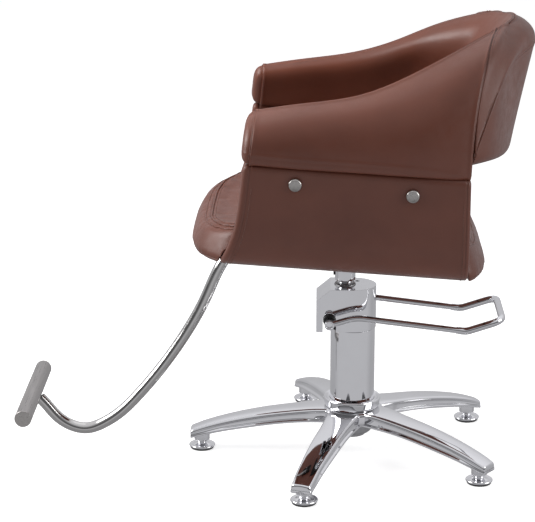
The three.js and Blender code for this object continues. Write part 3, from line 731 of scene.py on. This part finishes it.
# The shell's padded edges with their seam grooves: (distance in from the edge, inset of the section there).
EDGE_STEPS = [
    (0, 9), (0.7, 5.5), (2.6, 2.4), (5.5, 0.7), (9, 0), (11.5, 0.3), (13, 1.4), (14.5, 0.3), (18, 0),
]
REAR_STEPS = [
    (0, 6), (0.6, 3.4), (2.2, 1.2), (4.4, 0.2), (6.2, 0), (7.2, 0.9), (8.2, 0), (12, 0), (18, 0),
]
EDGE_DEPTH = EDGE_STEPS[-1][0]


def dimples(points, depth=1.8, reach=17):
    """Draws the side walls in round each bolt head."""
    pull = np.zeros(len(points))
    for node in ("front_bolt_left", "rear_bolt_left"):
        low, high = box_mm(node)
        away = np.hypot(points[:, 1] - (low[1] + high[1]) / 2, points[:, 2] - (low[2] + high[2]) / 2)
        pull += depth * np.exp(-((away / reach) ** 2))
    outside = (np.abs(points[:, 0]) > SHELL_HALF - 4).astype(float)
    return points - np.stack([np.sign(points[:, 0]) * pull * outside, pull * 0, pull * 0], 1)


def shell_section(inset, place):
    """A whole U section, outside and back along the inside; place gives y from the front edge's y."""
    outer, inner = shell_outline(inset)
    whole = np.concatenate([outer, outer[-2::-1] * [-1, 1], inner[1:] * [-1, 1], inner[-2:0:-1]])
    y = place(shell_front(whole[:, 1]))
    return dimples(np.stack([whole[:, 0], y, whole[:, 1] - y * TILT], 1))


def shell_mesh():
    sections = [shell_section(inset, lambda front, step=step: front + step) for step, inset in EDGE_STEPS]
    rear = SHELL_REAR - EDGE_DEPTH
    for share in np.linspace(0, 1, 40)[1:-1]:
        sections.append(shell_section(0, lambda front, s=share: (front + EDGE_DEPTH) * (1 - s) + rear * s))
    for step, inset in reversed(REAR_STEPS):
        sections.append(shell_section(inset, lambda front, step=step: front * 0 + SHELL_REAR - step))
    return mirrored_skin(sections)


def shell_seam(place):
    """A line round the outside of the shell, with outward normals, y from the front edge as in place."""
    outer = shell_outline(0)[0][8:]
    line = np.concatenate([outer, outer[::-1] * [-1, 1]])
    y = place(shell_front(line[:, 1]))
    path = np.stack([line[:, 0], y, line[:, 1] - y * TILT], 1)
    travel = np.gradient(line, axis=0)
    normal = np.stack([-travel[:, 1], travel[:, 0] * 0, travel[:, 0]], 1)
    normal *= np.sign(np.sum(normal * (path - [0, 0, 500]), axis=1))[:, None]
    return path, normal / np.linalg.norm(normal, axis=1)[:, None]


def shell_pieces():
    upholstery("lower_shell_upholstery", shell_mesh(), ["seat_shell"])
    rows = [stitches(*shell_seam(lambda front: front + 19)),
            stitches(*shell_seam(lambda front: front * 0 + SHELL_REAR - 12))]
    upholstery("shell_stitching", joined(rows), look=thread)


shell_pieces()

# ---------------------------------------------------------------- seat cushion
# Plan of the cushion's fullest line, from the middle of the nose round the left side to the rear.
CUSHION_PLAN = [
    [0, -300], [60, -299], [110, -296], [150, -289], [188, -277], [214, -261], [236, -242], [250, -212],
    [251, -120], [251, 0], [251, 120], [250, 186], [237, 209], [205, 227], [150, 236], [75, 240], [0, 241],
]
# The border from the top seam down to the underside: (distance in from the fullest line, share of height).
NOSE_BORDER = [(27, 1), (14, 0.79), (5, 0.45), (0, 0.22), (1.2, 0.08), (6, 0)]
REAR_BORDER = [(20, 1), (15, 0.80), (9, 0.55), (0, 0.25), (1.5, 0.10), (8, 0)]
CUSHION_UNDER = 417.5
CROWN = [[-300, 460], [-273, 464], [-240, 465], [-200, 470], [-100, 475], [20, 475], [120, 472], [200, 466],
         [245, 462]]
SINK = 5  # how far the start shape lies below its final top, before it swells
NOSE_SPARE, REAR_SPARE = 8, 6  # how much longer the start shape is at its nose and rear


def cushion_top(flat):
    """Top of the padding: a shallow bucket whose sides rise to the walls."""
    x, y = flat.T
    crown = np.interp(y, *np.array(CROWN, float).T)
    return crown + 33 * (np.abs(x) / 250) ** (2 - 0.5 * smooth_step(0, 200, y))


def cushion_plan(count=200):
    half = np.array(CUSHION_PLAN, float)
    whole = np.concatenate([half, (half * [-1, 1])[-2:0:-1], half[:1]])
    knots = lengths_along(whole)
    return evenly(spline(whole, knots, np.linspace(0, knots[-1], 1500)), count + 1)[:-1]


def inset_plan(plan, inset):
    travel = np.roll(plan, -1, axis=0) - np.roll(plan, 1, axis=0)
    normal = np.stack([travel[:, 1], -travel[:, 0]], 1)
    normal /= np.linalg.norm(normal, axis=1)[:, None]
    return plan - normal * np.reshape(inset, (-1, 1))


def border_ring(plan, k):
    """Ring k of the border: its plan and its share of the height, from the nose's table to the rear's."""
    rear = smooth_step(-200, 180, plan[:, 1])
    (nose_in, nose_up), (rear_in, rear_up) = NOSE_BORDER[k], REAR_BORDER[k]
    inset = nose_in * (1 - rear) + rear_in * rear
    return inset_plan(plan, inset), nose_up * (1 - rear) + rear_up * rear


def seam_plan(plan, extra=0):
    """Plan of the border's upper edge, or of a line so much further in."""
    rear = smooth_step(-200, 180, plan[:, 1])
    return inset_plan(plan, NOSE_BORDER[0][0] * (1 - rear) + REAR_BORDER[0][0] * rear + extra)


def cushion_start():
    """The cushion before it swells, which raises its top and draws in its nose and rear."""
    plan = cushion_plan()
    seam = seam_plan(plan)
    middle = 1 - smooth_step(120, 210, np.abs(plan[:, 0]))
    rear, nose = smooth_step(200, 245, plan[:, 1]), smooth_step(215, 300, -plan[:, 1])
    plan[:, 1] += REAR_SPARE * middle * rear - NOSE_SPARE * nose
    rings = []
    for share in (0.02, 0.2, 0.4, 0.6, 0.75, 0.88):
        flat = seam * share
        rings.append(np.column_stack([flat, cushion_top(flat) - SINK]))
    top = cushion_top(seam)
    for k in range(len(NOSE_BORDER)):
        flat, share = border_ring(plan, k) if k else (seam, 1)
        rings.append(np.column_stack([flat, CUSHION_UNDER + share * (top - 2 - CUSHION_UNDER)]))
    for share in (0.8, 0.5, 0.2, 0.02):
        rings.append(np.column_stack([seam * share, np.full(len(seam), CUSHION_UNDER)]))
    for ring in rings:
        ring[:, 2] -= ring[:, 1] * TILT
    return skin(rings)


def remeshed(obj, voxel):
    remesh = obj.modifiers.new("even mesh", "REMESH")
    remesh.mode = "VOXEL"
    remesh.voxel_size = voxel * MM
    return baked(obj)


def swollen(obj, cap, pressure=4.0, frames=20):
    """Swells a closed pad by cloth simulation under inner pressure; no point moves further than the cap."""
    rest = coordinates(obj.data)
    cloth = obj.modifiers.new("swell", "CLOTH")
    cloth.settings.quality = 6
    cloth.settings.mass = 0.3
    cloth.settings.tension_stiffness = 15
    cloth.settings.compression_stiffness = 15
    cloth.settings.bending_stiffness = 0.6
    cloth.settings.use_pressure = True
    cloth.settings.uniform_pressure_force = pressure
    cloth.settings.effector_weights.gravity = 0
    cloth.point_cache.frame_start = 1
    cloth.point_cache.frame_end = frames
    for step in range(1, frames + 1):
        bpy.context.scene.frame_set(step)
    swelled = coordinates(obj.evaluated_get(bpy.context.evaluated_depsgraph_get()).data)
    obj.modifiers.clear()
    bpy.context.scene.frame_set(1)
    travel = swelled - rest
    length = np.linalg.norm(travel, axis=1)[:, None]
    set_coordinates(obj.data, rest + travel * np.minimum(1, cap * MM / np.maximum(length, 1e-9)))


def kept_clear(obj, board=446, corner=434, radius=60):
    """Holds the cushion off the shell's walls, the board beneath it and the shell's round inner corners.

    The levels of the board's top and of the corners' lowest point are in the seat's own leaning measure.
    """
    x, y, z = (coordinates(obj.data) / MM - SHIFT).T
    level = z + y * TILT
    within = (y > shell_front(level) + 1) & (y < SHELL_REAR + 1)
    wall = SHELL_HALF - SHELL_WALL - 2
    x = np.where(within, np.clip(x, -wall, wall), x)
    level = np.where(within, np.maximum(level, board), level)
    over, below = np.abs(x) - (wall - radius), corner + radius - level
    far = np.maximum(np.hypot(over, below), 1e-6)
    bites = within & (over > 0) & (below > 0) & (far > radius)
    x = np.where(bites, np.sign(x) * (wall - radius + over * radius / far), x)
    level = np.where(bites, corner + radius - below * radius / far, level)
    level = np.maximum(level, CUSHION_UNDER + 4 * smooth_step(190, 230, y))
    set_coordinates(obj.data, placed(np.column_stack([x, y, level - y * TILT])))


def on_surface(tree, flat):
    """Points of a mesh, with its normals, nearest to the drawn top of the cushion over flat points."""
    points, normals = [], []
    for (x, y), level in zip(flat, cushion_top(np.array(flat))):
        point, normal, _, _ = tree.find_nearest(Vector(placed([x, y, level - y * TILT])))
        points.append(np.array(point) / MM - SHIFT)
        normals.append(np.array(normal))
    return np.array(points), np.array(normals)


def nearest_on(tree, points):
    near = [tree.find_nearest(Vector(placed(point)))[0] for point in points]
    return np.array(near) / MM - SHIFT


def pressed(obj, points, depth, reach):
    """Presses a line or a set of points into a mesh."""
    where = coordinates(obj.data)
    target = placed(points)
    nearest = np.full(len(where), 1e9)
    for k in range(0, len(target), 40):
        gap = np.linalg.norm(where[:, None] - target[None, k : k + 40], axis=2)
        nearest = np.minimum(nearest, gap.min(axis=1))
    pull = depth * MM * np.exp(-((nearest / (reach * MM)) ** 2))
    outward = vectors(obj.data.vertex_normals, "vector")
    set_coordinates(obj.data, where - outward * pull[:, None])


def tree_of(obj):
    points = [Vector(p) for p in coordinates(obj.data)]
    return BVHTree.FromPolygons(points, [tuple(p.vertices) for p in obj.data.polygons])


def subdivided(obj):
    modifier = obj.modifiers.new("fine", "SUBSURF")
    modifier.levels = modifier.render_levels = 1
    return baked(obj)


# The top's sewn lines, each by its distance in from the border's upper edge.
OUTER_SEAM, PANEL_SEAM, PANEL_STITCHES = -5, 8, 15
PUCKERS = [(172, -226), (206, -196), (120, -240), (214, -150), (60, -247)]  # dents near the panel's corners


def cushion_pieces():
    cushion = add_piece("seat_cushion_pad", cushion_start(), leather, "seat",
                        ["seat_cushion"])
    remeshed(cushion, 6)
    swollen(cushion, cap=6)
    kept_clear(cushion)
    subdivided(cushion)
    plan = cushion_plan(280)
    lines = [seam_plan(plan, extra) for extra in (OUTER_SEAM, PANEL_SEAM, PANEL_STITCHES)]
    outer, panel, sewn = (np.concatenate([line, line[:2]]) for line in lines)
    tree = tree_of(cushion)
    pressed(cushion, on_surface(tree, outer)[0], 1.8, 4)
    pressed(cushion, on_surface(tree, panel)[0], 3.2, 5)
    corners = [(side * x, y) for x, y in PUCKERS for side in (1, -1)]
    pressed(cushion, on_surface(tree, corners)[0], 2.0, 13)
    tree = tree_of(cushion)
    seam, seam_up = on_surface(tree, outer)
    loop, loop_up = on_surface(tree, panel)
    finished(cushion, leather, "seat")
    welts = [tube(loop + loop_up * 0.8, 1.9, 10), tube(seam + seam_up * 0.2, 1.2, 8)]
    flat, share = border_ring(plan, len(NOSE_BORDER) - 2)
    level = CUSHION_UNDER + share * (cushion_top(seam_plan(plan)) - CUSHION_UNDER)
    lower = np.column_stack([flat, level - flat[:, 1] * TILT])
    for inside in (flat[:, 1] < -243, flat[:, 1] > SHELL_REAR + 6):
        turn = -int(np.argmin(inside)) if inside[0] else 0
        run = np.roll(lower, turn, axis=0)[np.roll(inside, turn)]
        welts.append(tube(nearest_on(tree, run), 1.3, 8))
    upholstery("seat_welts", joined(welts), look=leather_welt)
    upholstery("seat_stitching", stitches(*on_surface(tree, sewn)), look=thread)


cushion_pieces()


# ---------------------------------------------------------------- star base and feet
# Stations along an arm: distance out, half width at the foot, top height and bottom height.
STAR_ARM = [
    [34, 33, 92, 64], [70, 31, 91.5, 64], [105, 28, 88, 62], [160, 26, 81, 56], [215, 24, 71, 47],
    [265, 22, 58.5, 37], [300, 20.5, 46.5, 28], [312, 19.5, 41.5, 25],
]


def arm_outline(half, top, bottom, channel):
    """Half section of an arm: crowned top, bright shoulder, recessed side, flange and hollow underside."""
    recess = 3.0 * channel
    edge = half - 1.5
    wall = 4
    return filleted([
        (0, top), (half - 12, top - 0.5, 6), (edge - 2.6, top - 1.8, 1.6), (edge, top - 5.6, 1.2),
        (edge + 0.3, top - 7.6, 0.8), (edge - recess, top - 9.6, 1.2), (edge - recess, bottom + 6.5, 1.2),
        (half, bottom + 3.6, 1), (half, bottom, 1), (half - wall, bottom, 1),
        (half - wall - 4, top - 12, 2), (0, top - 9),
    ], 4)


def star_arm():
    data = np.array(STAR_ARM, float)
    out = np.concatenate([np.linspace(34, 308, 80), [309.5, 310.8, 311.6, 312]])
    values = spline(data[:, 1:], data[:, 0], out)
    sections = []
    for r, (half, top, bottom) in zip(out, values):
        channel = smooth_step(78, 92, r) * (1 - smooth_step(230, 300, r))
        rounding = 3 * (1 - math.sqrt(max(0, 1 - ((r - 309) / 3) ** 2))) if r > 309 else 0
        outline = arm_outline(half - rounding, top - rounding * 0.8, bottom, channel)
        whole = np.concatenate([outline, outline[-2:0:-1] * [-1, 1]])
        sections.append(np.column_stack([whole[:, 0], np.full(len(whole), -r), whole[:, 1]]))
    return mirrored_skin(sections)


def turn_about_column(angle):
    c, s = math.cos(angle), math.sin(angle)
    return [[c, -s, 0], [s, c, 0], [0, 0, 1]]


def star_base():
    arm = star_arm()
    boss = turned([(0, 17), (15, 17, 2), (15, 40), (0, 40)], 0, -FOOT_CIRCLE, 40)
    parts = []
    for k in range(ARM_COUNT):
        turn = turn_about_column(2 * math.pi * k / ARM_COUNT)
        parts += [moved(arm, turn), moved(boss, turn)]
    hub = turned([(0, 66), (54, 62, 3), (60, 68, 4), (60, 88, 5), (52, 92.2, 6), (0, 92.2)], sides=96)
    add_piece("star_base_casting", joined([*parts, hub]), chrome, "base", ["star_base"],
              sharp=38)


def feet():
    for number in range(1, ARM_COUNT + 1):
        angle = 2 * math.pi * (number - 1) / ARM_COUNT
        x, y = FOOT_CIRCLE * math.sin(angle), -FOOT_CIRCLE * math.cos(angle)
        body = f"foot_{number}"
        disc = [(0, 3.2), (22, 3.2), (24.6, 4.2, 0.8), (25.5, 6, 0.8), (24.4, 8.2, 1), (16, 7.4, 3),
                (10.5, 10, 2), (9, 11.5), (9, 15, 1), (0, 15)]
        add_piece(f"foot_plate_{number}", turned(disc, x, y, 56), chrome, body,
                  [f"foot_disc_{number}"], sharp=40)
        pad = [(0, 0), (22.5, 0, 1), (23.4, 3.3, 0.6), (0, 3.3)]
        add_piece(f"foot_sole_{number}", turned(pad, x, y, 48), rubber, body,
                  [f"foot_pad_{number}"], sharp=40)
        nut_angle = np.linspace(0, 2 * math.pi, 6, endpoint=False)
        nut = [np.column_stack([x + r * np.cos(nut_angle), y + r * np.sin(nut_angle), nut_angle * 0 + z])
               for r, z in ((7.2, 15.1), (8.2, 15.6), (8.2, 16.8))]
        stud = turned([(0, 14), (4.7, 14), (4.7, 33), (0, 33)], x, y, 24)
        add_piece(f"foot_nut_{number}", joined([skin(nut), stud]), machined, body,
                  [f"foot_stud_{number}"], sharp=30)


star_base()
feet()


# ---------------------------------------------------------------- column and pump
def column_pieces():
    low, high, r = COLUMN_LOW[2], COLUMN_HIGH[2], COLUMN_R
    sleeve = [
        (0, low), (27.5, low, 1), (27.5, 92.3), (r, 92.3), (r, high - 0.4, 0.5), (r - 4, high), (0, high),
    ]
    add_piece("column_sleeve", turned(sleeve, sides=128), chrome, "base", ["column_tube"],
              sharp=40)
    outer, top, bottom = RING_HIGH[0], RING_HIGH[2], RING_LOW[2]
    ring = [
        (r + 0.4, bottom), (outer - 3, bottom), (outer - 1.5, bottom + 4, 2), (outer, top - 3, 2),
        (outer - 2, top, 1), (outer - 4, top - 1, 1), (outer - 8.5, top - 5, 2), (r + 0.4, top - 3.5),
        (r + 0.4, bottom),
    ]
    add_piece("hub_collar", turned(ring, sides=128), chrome, "base", ["hub_ring"], sharp=40)
    nut = [
        (0, 31), (21, 31, 2), (26.5, 33.5, 1), (26.5, 38.5), (34, 39.5, 2), (38, 43, 2), (38, 61.7),
        (0, 61.7),
    ]
    add_piece("pump_end_nut", turned(nut, sides=96), machined, "base",
              ["pump_bottom_nut"], sharp=35)


def cut(obj, cutters):
    """Takes the cutters away from an object, and removes them from the scene."""
    for cutter in cutters:
        boolean = obj.modifiers.new("cut", "BOOLEAN")
        boolean.operation = "DIFFERENCE"
        boolean.solver = "EXACT"
        boolean.object = cutter
    baked(obj)
    for cutter in cutters:
        bpy.data.objects.remove(cutter)
    return obj


def extruded(outline, low, high, axis="z"):
    """A flat outline raised between two heights, along Z, or along X for outlines in (y, z)."""
    rings = []
    for level in (low, high):
        flat = np.asarray(outline, float)
        column = np.full(len(flat), float(level))
        rings.append(np.column_stack([flat, column] if axis == "z" else [column, flat]))
    count = len(outline)
    faces = grid_faces(2, count, closed=True) + [list(range(count)), list(range(count, 2 * count))]
    return np.concatenate(rings), faces


def arc(centre, radius, start, end, count=40):
    angle = np.radians(np.linspace(start, end, count))
    return np.column_stack([centre[0] + radius * np.cos(angle), centre[1] + radius * np.sin(angle)])


def head_plan(inset):
    r = HEAD_HIGH[0] - inset
    front = HEAD_LOW[1] + inset
    return np.concatenate([arc((0, 0), r, 0, 180, 72), [[-r, front], [r, front]]])


def across(outline):
    """A cutter that runs right through the pump head from side to side."""
    return solid(extruded(outline, -60, 60, "x"))


def pump_head(slot_r=12.5):
    """A hollow casting open below, with a sloping hood, a slot for the shaft and two holes on top."""
    top, bottom, front = HEAD_HIGH[2], HEAD_LOW[2], HEAD_LOW[1]
    slot_foot = [[LEVER_Y - slot_r, bottom - 5], [LEVER_Y + slot_r, bottom - 5]]
    slot = np.concatenate([arc((LEVER_Y, LEVER_Z), slot_r, 0, 180), slot_foot])
    chamfer = [[front - 10, 302.6], [-35, 340], [front - 10, 345]]
    inside_chamfer = [[front - 10, 296], [-28, 339], [front - 10, 345]]
    inside = solid(extruded(head_plan(3), bottom - 5, top - 5))
    cut(inside, [across(inside_chamfer)])
    head = solid(extruded(head_plan(0), bottom, top))
    ram_hole = turned([(0, 320), (20.5, 320), (20.5, 345), (0, 345)], 0, LIFT_Y, 64)
    oil_hole = turned([(0, 322), (3.9, 322), (3.9, 345), (0, 345)], OIL_X, OIL_Y, 32)
    cut(head, [across(chamfer), inside, across(slot), solid(ram_hole), solid(oil_hole)])
    head.name = "pump_head_casting"
    finished(head, chrome, "base", ["pump_head"])
    soften_edges(head, 1.1, 28)


def round_fittings():
    """Turned pieces on the pump: oil screw, gland, ram and lever bushings."""
    screw = turned([(0, 318), (3.3, 318), (3.3, 331), (0, 331)], OIL_X, OIL_Y, 24)
    add_piece("oil_plug", screw, plastic, "base", ["oil_filler_screw"], sharp=40)
    gland = turned([(14.6, 318.3), (20, 318.3), (20, 335, 1), (18.5, 336, 0.5), (14.6, 336), (14.6, 318.3)],
                   0, LIFT_Y, 64)
    add_piece("gland_ring", gland, machined, "base", ["ram_gland"], sharp=40)
    rod_top, rod_low, r = RAM_HIGH[2], RAM_LOW[2], RAM_HIGH[0]
    rod = turned([(0, rod_low), (r, rod_low), (r, 336.5), (r - 1.3, 337.2), (r - 1.3, 338.6), (r, 339.3),
                  (r, rod_top - 2), (0, rod_top)], 0, LIFT_Y, 72)
    add_piece("lift_ram", rod, chrome, "ram", ["ram"], sharp=40)
    bush = [(6.4, 40), (12.1, 40), (12.1, 47.5, 1), (10, 49, 0.5), (6.4, 49), (6.4, 40)]
    for side, name in SIDES:
        add_piece(f"lever_bush_{name}", turned_across(bush, LEVER_Y, LEVER_Z, side=side), plastic,
                  "base", [f"lever_bushing_{name}"], sharp=40)


def ram_socket():
    """The seat's socket on the ram, with a flange that leans as the seat does, and its set screw."""
    low = box_mm("ram_socket")[0][2]
    under, top = 412.5, 405
    profile = [
        (14.6, low), (18.6, low, 1), (19.7, low + 1.2, 0.5), (19.7, 397, 3), (30, 401, 6), (46, 402.5, 1),
        (46, top), (0, top), (0, 393), (14.6, 393), (14.6, low),
    ]
    points, faces = turned(profile, 0, LIFT_Y, 72)
    rim = points[:, 2] > 401
    points[rim, 2] += (under - top) - points[rim, 1] * TILT * 0.9
    add_piece("seat_socket", (points, faces), chrome, "seat", ["ram_socket"], sharp=40)
    screw_y = box_mm("socket_set_screw")[0][1]
    screw = moved(turned([(0, 0), (3.2, 0), (3.2, 6.5, 0.6), (1.6, 6.5), (1.6, 4), (0, 4)], sides=24),
                  [[1, 0, 0], [0, 0, -1], [0, 1, 0]], (0, screw_y + 6, 354))
    add_piece("set_screw", screw, plastic, "seat", ["socket_set_screw"], sharp=40)


column_pieces()
pump_head()
round_fittings()
ram_socket()


# ---------------------------------------------------------------- pump lever
ROD_X = 75  # the lever's rods, out from the middle
LEVER_BOSS = [
    (0, 59.3), (8.2, 59.3, 0.8), (8.6, 64.5, 0.5), (9.3, 65.5), (9.3, 79.3, 1.4), (6.2, 79.3, 0.5),
    (5.6, 78.2), (4.8, 78.2), (4.4, 75.2), (0, 75.2),
]


def lever_pieces():
    for side, name in SIDES:
        x = ROD_X * side
        route = evenly(filleted([(x, LEVER_Y, LEVER_Z), (x, 4, 289, 16), (x, 196.4, 265.6)], 10), 60)
        boss = turned_across(LEVER_BOSS, LEVER_Y, LEVER_Z, side=side)
        rod = tube(route[2:], 5.8, 28, round_ends=False)
        add_piece(f"lever_rod_{name}", joined([boss, rod]), chrome, "lever",
                  [f"lever_arm_{name}"], sharp=40)
    half = [(ROD_X, 196.7, 265.6), (ROD_X, 211, 263.9, 12), (ROD_X, 278, 286, 24)]
    mirror = [(-x, y, z, *bend) for x, y, z, *bend in reversed(half)]
    pedal = evenly(filleted([*half, *mirror], 12), 150)
    parts = [tube(pedal, 7, 28, round_ends=False)]
    for side, _ in SIDES:
        neck = [[ROD_X * side, 192, 266.1], [ROD_X * side, 197.5, 265.45]]
        parts.append(tube(evenly(neck, 4), 6.6, 28, round_ends=False))
    add_piece("foot_pedal", joined(parts), chrome, "lever", ["lever_pedal"], sharp=40)


lever_pieces()

# ---------------------------------------------------------------- footrest
# Side view of the swept tube as (y, z).
FOOTREST_ROUTE = [
    [-110, 414], [-150, 414], [-190, 412], [-224, 401], [-248, 374], [-281, 303], [-310, 248],
    [-349, 187.5], [-388, 136], [-418, 101], [-447, 72], [-477, 51], [-514, 37.5], [-545, 43.5],
    [-574, 64], [-592, 86], [-603.5, 99],
]


def footrest_pieces():
    flat = through(np.array(FOOTREST_ROUTE, float), 160)
    route = np.column_stack([flat[:, 0] * 0, flat])
    add_piece("footrest_stem", tube(route, 11, 36, round_ends=False), tube_chrome, "seat",
              ["footrest_tube"], sharp=50)
    half, r = BAR_HIGH[0] + 3, (BAR_HIGH[2] - BAR_LOW[2]) / 2
    bar = turned_across([(0, 1 - half), (r - 1, 1 - half), (r, 2.5 - half, 0.8), (r, half - 2.5, 0.8),
                         (r - 1, half - 1), (0, half - 1)], BAR_Y, BAR_Z, 72)
    add_piece("footrest_crossbar", bar, steel_bar, "seat", ["footrest_bar"], sharp=40)
    cap = [
        (0, half - 6), (r - 2.4, half - 6), (r - 2.4, half - 0.9), (r - 0.6, half - 0.9),
        (r - 0.5, half - 0.2, 0.4), (r - 2, half, 0.6), (0, half),
    ]
    for side, name in SIDES:
        add_piece(f"footrest_end_{name}", turned_across(cap, BAR_Y, BAR_Z, 72, side), steel_turned, "seat",
                  [f"footrest_cap_{name}"], sharp=40)


def bolt_heads():
    """Turned heads of the four shell bolts, with a shallow dish in the face."""
    for row in ("front", "rear"):
        for side, name in SIDES:
            low, high = box_mm(f"{row}_bolt_{name}")
            y, z = ((low + high) / 2)[1:]
            face = max(abs(low[0]), abs(high[0]))
            r = (high[1] - low[1]) / 2
            profile = [
                (0, SHELL_HALF - 8), (4, SHELL_HALF - 8), (4, SHELL_HALF - 1), (r - 0.8, SHELL_HALF - 1),
                (r, SHELL_HALF, 0.4), (r, face - 1.6, 1.3), (r - 2.2, face, 0.8),
                (r - 3.6, face - 0.3, 0.6), (0, face - 0.9),
            ]
            head = turned_across(profile, y, z, 64, side)
            add_piece(f"{row}_bolt_head_{name}", head, steel_turned, "seat",
                      [f"{row}_bolt_{name}"], sharp=40)


footrest_pieces()
bolt_heads()

# ---------------------------------------------------------------- CAD nodes that stay
KEPT = {
    machined: ["pressure_cylinder", "plunger_guide", "piston", "lever_shaft", "lever_rocker",
               "pump_plunger", "plunger_spring", "clamp_screw_left", "clamp_screw_right"],
    dark_steel: ["seat_mount_plate", "footrest_bracket", "arm_bracket_left", "arm_bracket_right"],
    wood: ["seat_board"],
}
for look, names in KEPT.items():
    for node_name in names:
        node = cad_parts[node_name]
        node.data.materials.clear()
        node.data.materials.append(look)


# ---------------------------------------------------------------- studio
def aimed(obj, position, direction):
    """Puts a light or camera at a position, looking along a direction."""
    obj.location = position
    obj.rotation_euler = direction.to_track_quat("-Z", "Y").to_euler()
    return obj


def area_light(name, position, target, size, power):
    light = bpy.data.lights.new(name, "AREA")
    light.shape = "RECTANGLE"
    light.size, light.size_y = size
    light.energy = power
    return aimed(linked(name, light), position, Vector(target) - Vector(position))


# Brightness of the surround by height of the direction, from straight down (0) to straight up (1): on the
# +X side, and on the far side.
NEAR_SIDE = [
    (0.0, 0.36), (0.22, 0.38), (0.34, 0.55), (0.41, 0.56), (0.46, 0.28), (0.52, 0.10), (0.66, 0.16),
    (0.78, 0.45), (0.90, 0.80),
]
FAR_SIDE = [(0.0, 0.36), (0.25, 0.38), (0.44, 0.50), (0.64, 0.60), (0.78, 0.80), (0.90, 0.90)]
FILL = [(0.0, 1.15), (0.46, 1.10), (0.54, 0.30), (0.70, 0.20), (0.90, 0.35)]  # what matt surfaces receive


def studio_world():
    """White where the camera looks past the chair; for light and mirror images, a grey studio."""
    world = bpy.data.worlds.new("studio")
    bpy.context.scene.world = world
    world.use_nodes = True
    tree = world.node_tree

    def new(kind, *inputs):
        return new_node(tree, kind, *inputs).outputs

    def greys(stops, value):
        return color_ramp(tree, value, [(at, (grey, grey, grey * 1.03)) for at, grey in stops], "EASE")

    where = new("ShaderNodeSeparateXYZ", new("ShaderNodeTexCoord")["Generated"])
    height = new("ShaderNodeMapRange", where["Z"], -1.0, 1.0)["Result"]
    side = new("ShaderNodeMapRange", where["X"], -0.25, 0.25)["Result"]
    blend = tree.nodes.new("ShaderNodeMix")
    blend.data_type = "RGBA"
    both = zip((blend.inputs["Factor"], blend.inputs[6], blend.inputs[7]),
               (side, greys(FAR_SIDE, height), greys(NEAR_SIDE, height)))
    fill_inputs(tree, both)
    mirrored = new("ShaderNodeBackground", blend.outputs[2])[0]
    matt = new("ShaderNodeBackground", greys(FILL, height))[0]
    seen = new("ShaderNodeBackground", (1, 1, 1, 1))[0]
    path = new("ShaderNodeLightPath")
    unseen = new("ShaderNodeMixShader", path["Is Diffuse Ray"], mirrored, matt)[0]
    mix = new("ShaderNodeMixShader", path["Is Camera Ray"], unseen, seen)[0]
    tree.links.new(mix, tree.nodes["World Output"].inputs["Surface"])


def pale_floor(reach=9.0, level=-0.0006):
    """A pale floor that only the camera sees: it neither lights the chair nor shows in its mirrors."""
    mesh = bpy.data.meshes.new("floor")
    corners = [(x * reach, y * reach, level) for x, y in ((-1, -1), (1, -1), (1, 1), (-1, 1))]
    mesh.from_pydata(corners, [], [(0, 1, 2, 3)])
    floor = linked("floor", mesh)
    look = Look("pale_floor", Base_Color=(0.80, 0.80, 0.80, 1), Roughness=0.7, Specular_IOR_Level=0.1,
                Emission_Color=(1, 1, 1, 1), Emission_Strength=0.70)
    mesh.materials.append(look.material)
    floor.visible_glossy = False
    floor.visible_diffuse = False


def camera():
    data = bpy.data.cameras.new("camera")
    data.lens = 136.6
    data.sensor_width = 36
    pan, pitch = math.radians(-1.454), math.radians(15.75)
    aim = Vector((-math.cos(pan) * math.cos(pitch), math.sin(pan) * math.cos(pitch), -math.sin(pitch)))
    bpy.context.scene.camera = aimed(linked("camera", data), placed([3701, -69, 1421]), aim)


studio_world()
pale_floor()
camera()
area_light("overhead", (-0.7, 0.0, 3.0), (-0.1, 0.0, 0.6), (1.8, 2.6), 4)
area_light("front_soft", (0.2, -2.7, 1.8), (0, 0, 0.6), (1.8, 1.6), 74)
area_light("rear_soft", (1.0, 2.9, 1.5), (0, 0.1, 0.6), (1.8, 1.8), 38)
inside_fill = area_light("inside_fill", (0.05, -0.25, 1.25), (-0.12, 0.2, 0.7), (0.35, 0.35), 5.5)
inside_fill.visible_glossy = False
inside_fill.visible_camera = False
bpy.context.scene.view_settings.view_transform = "Standard"
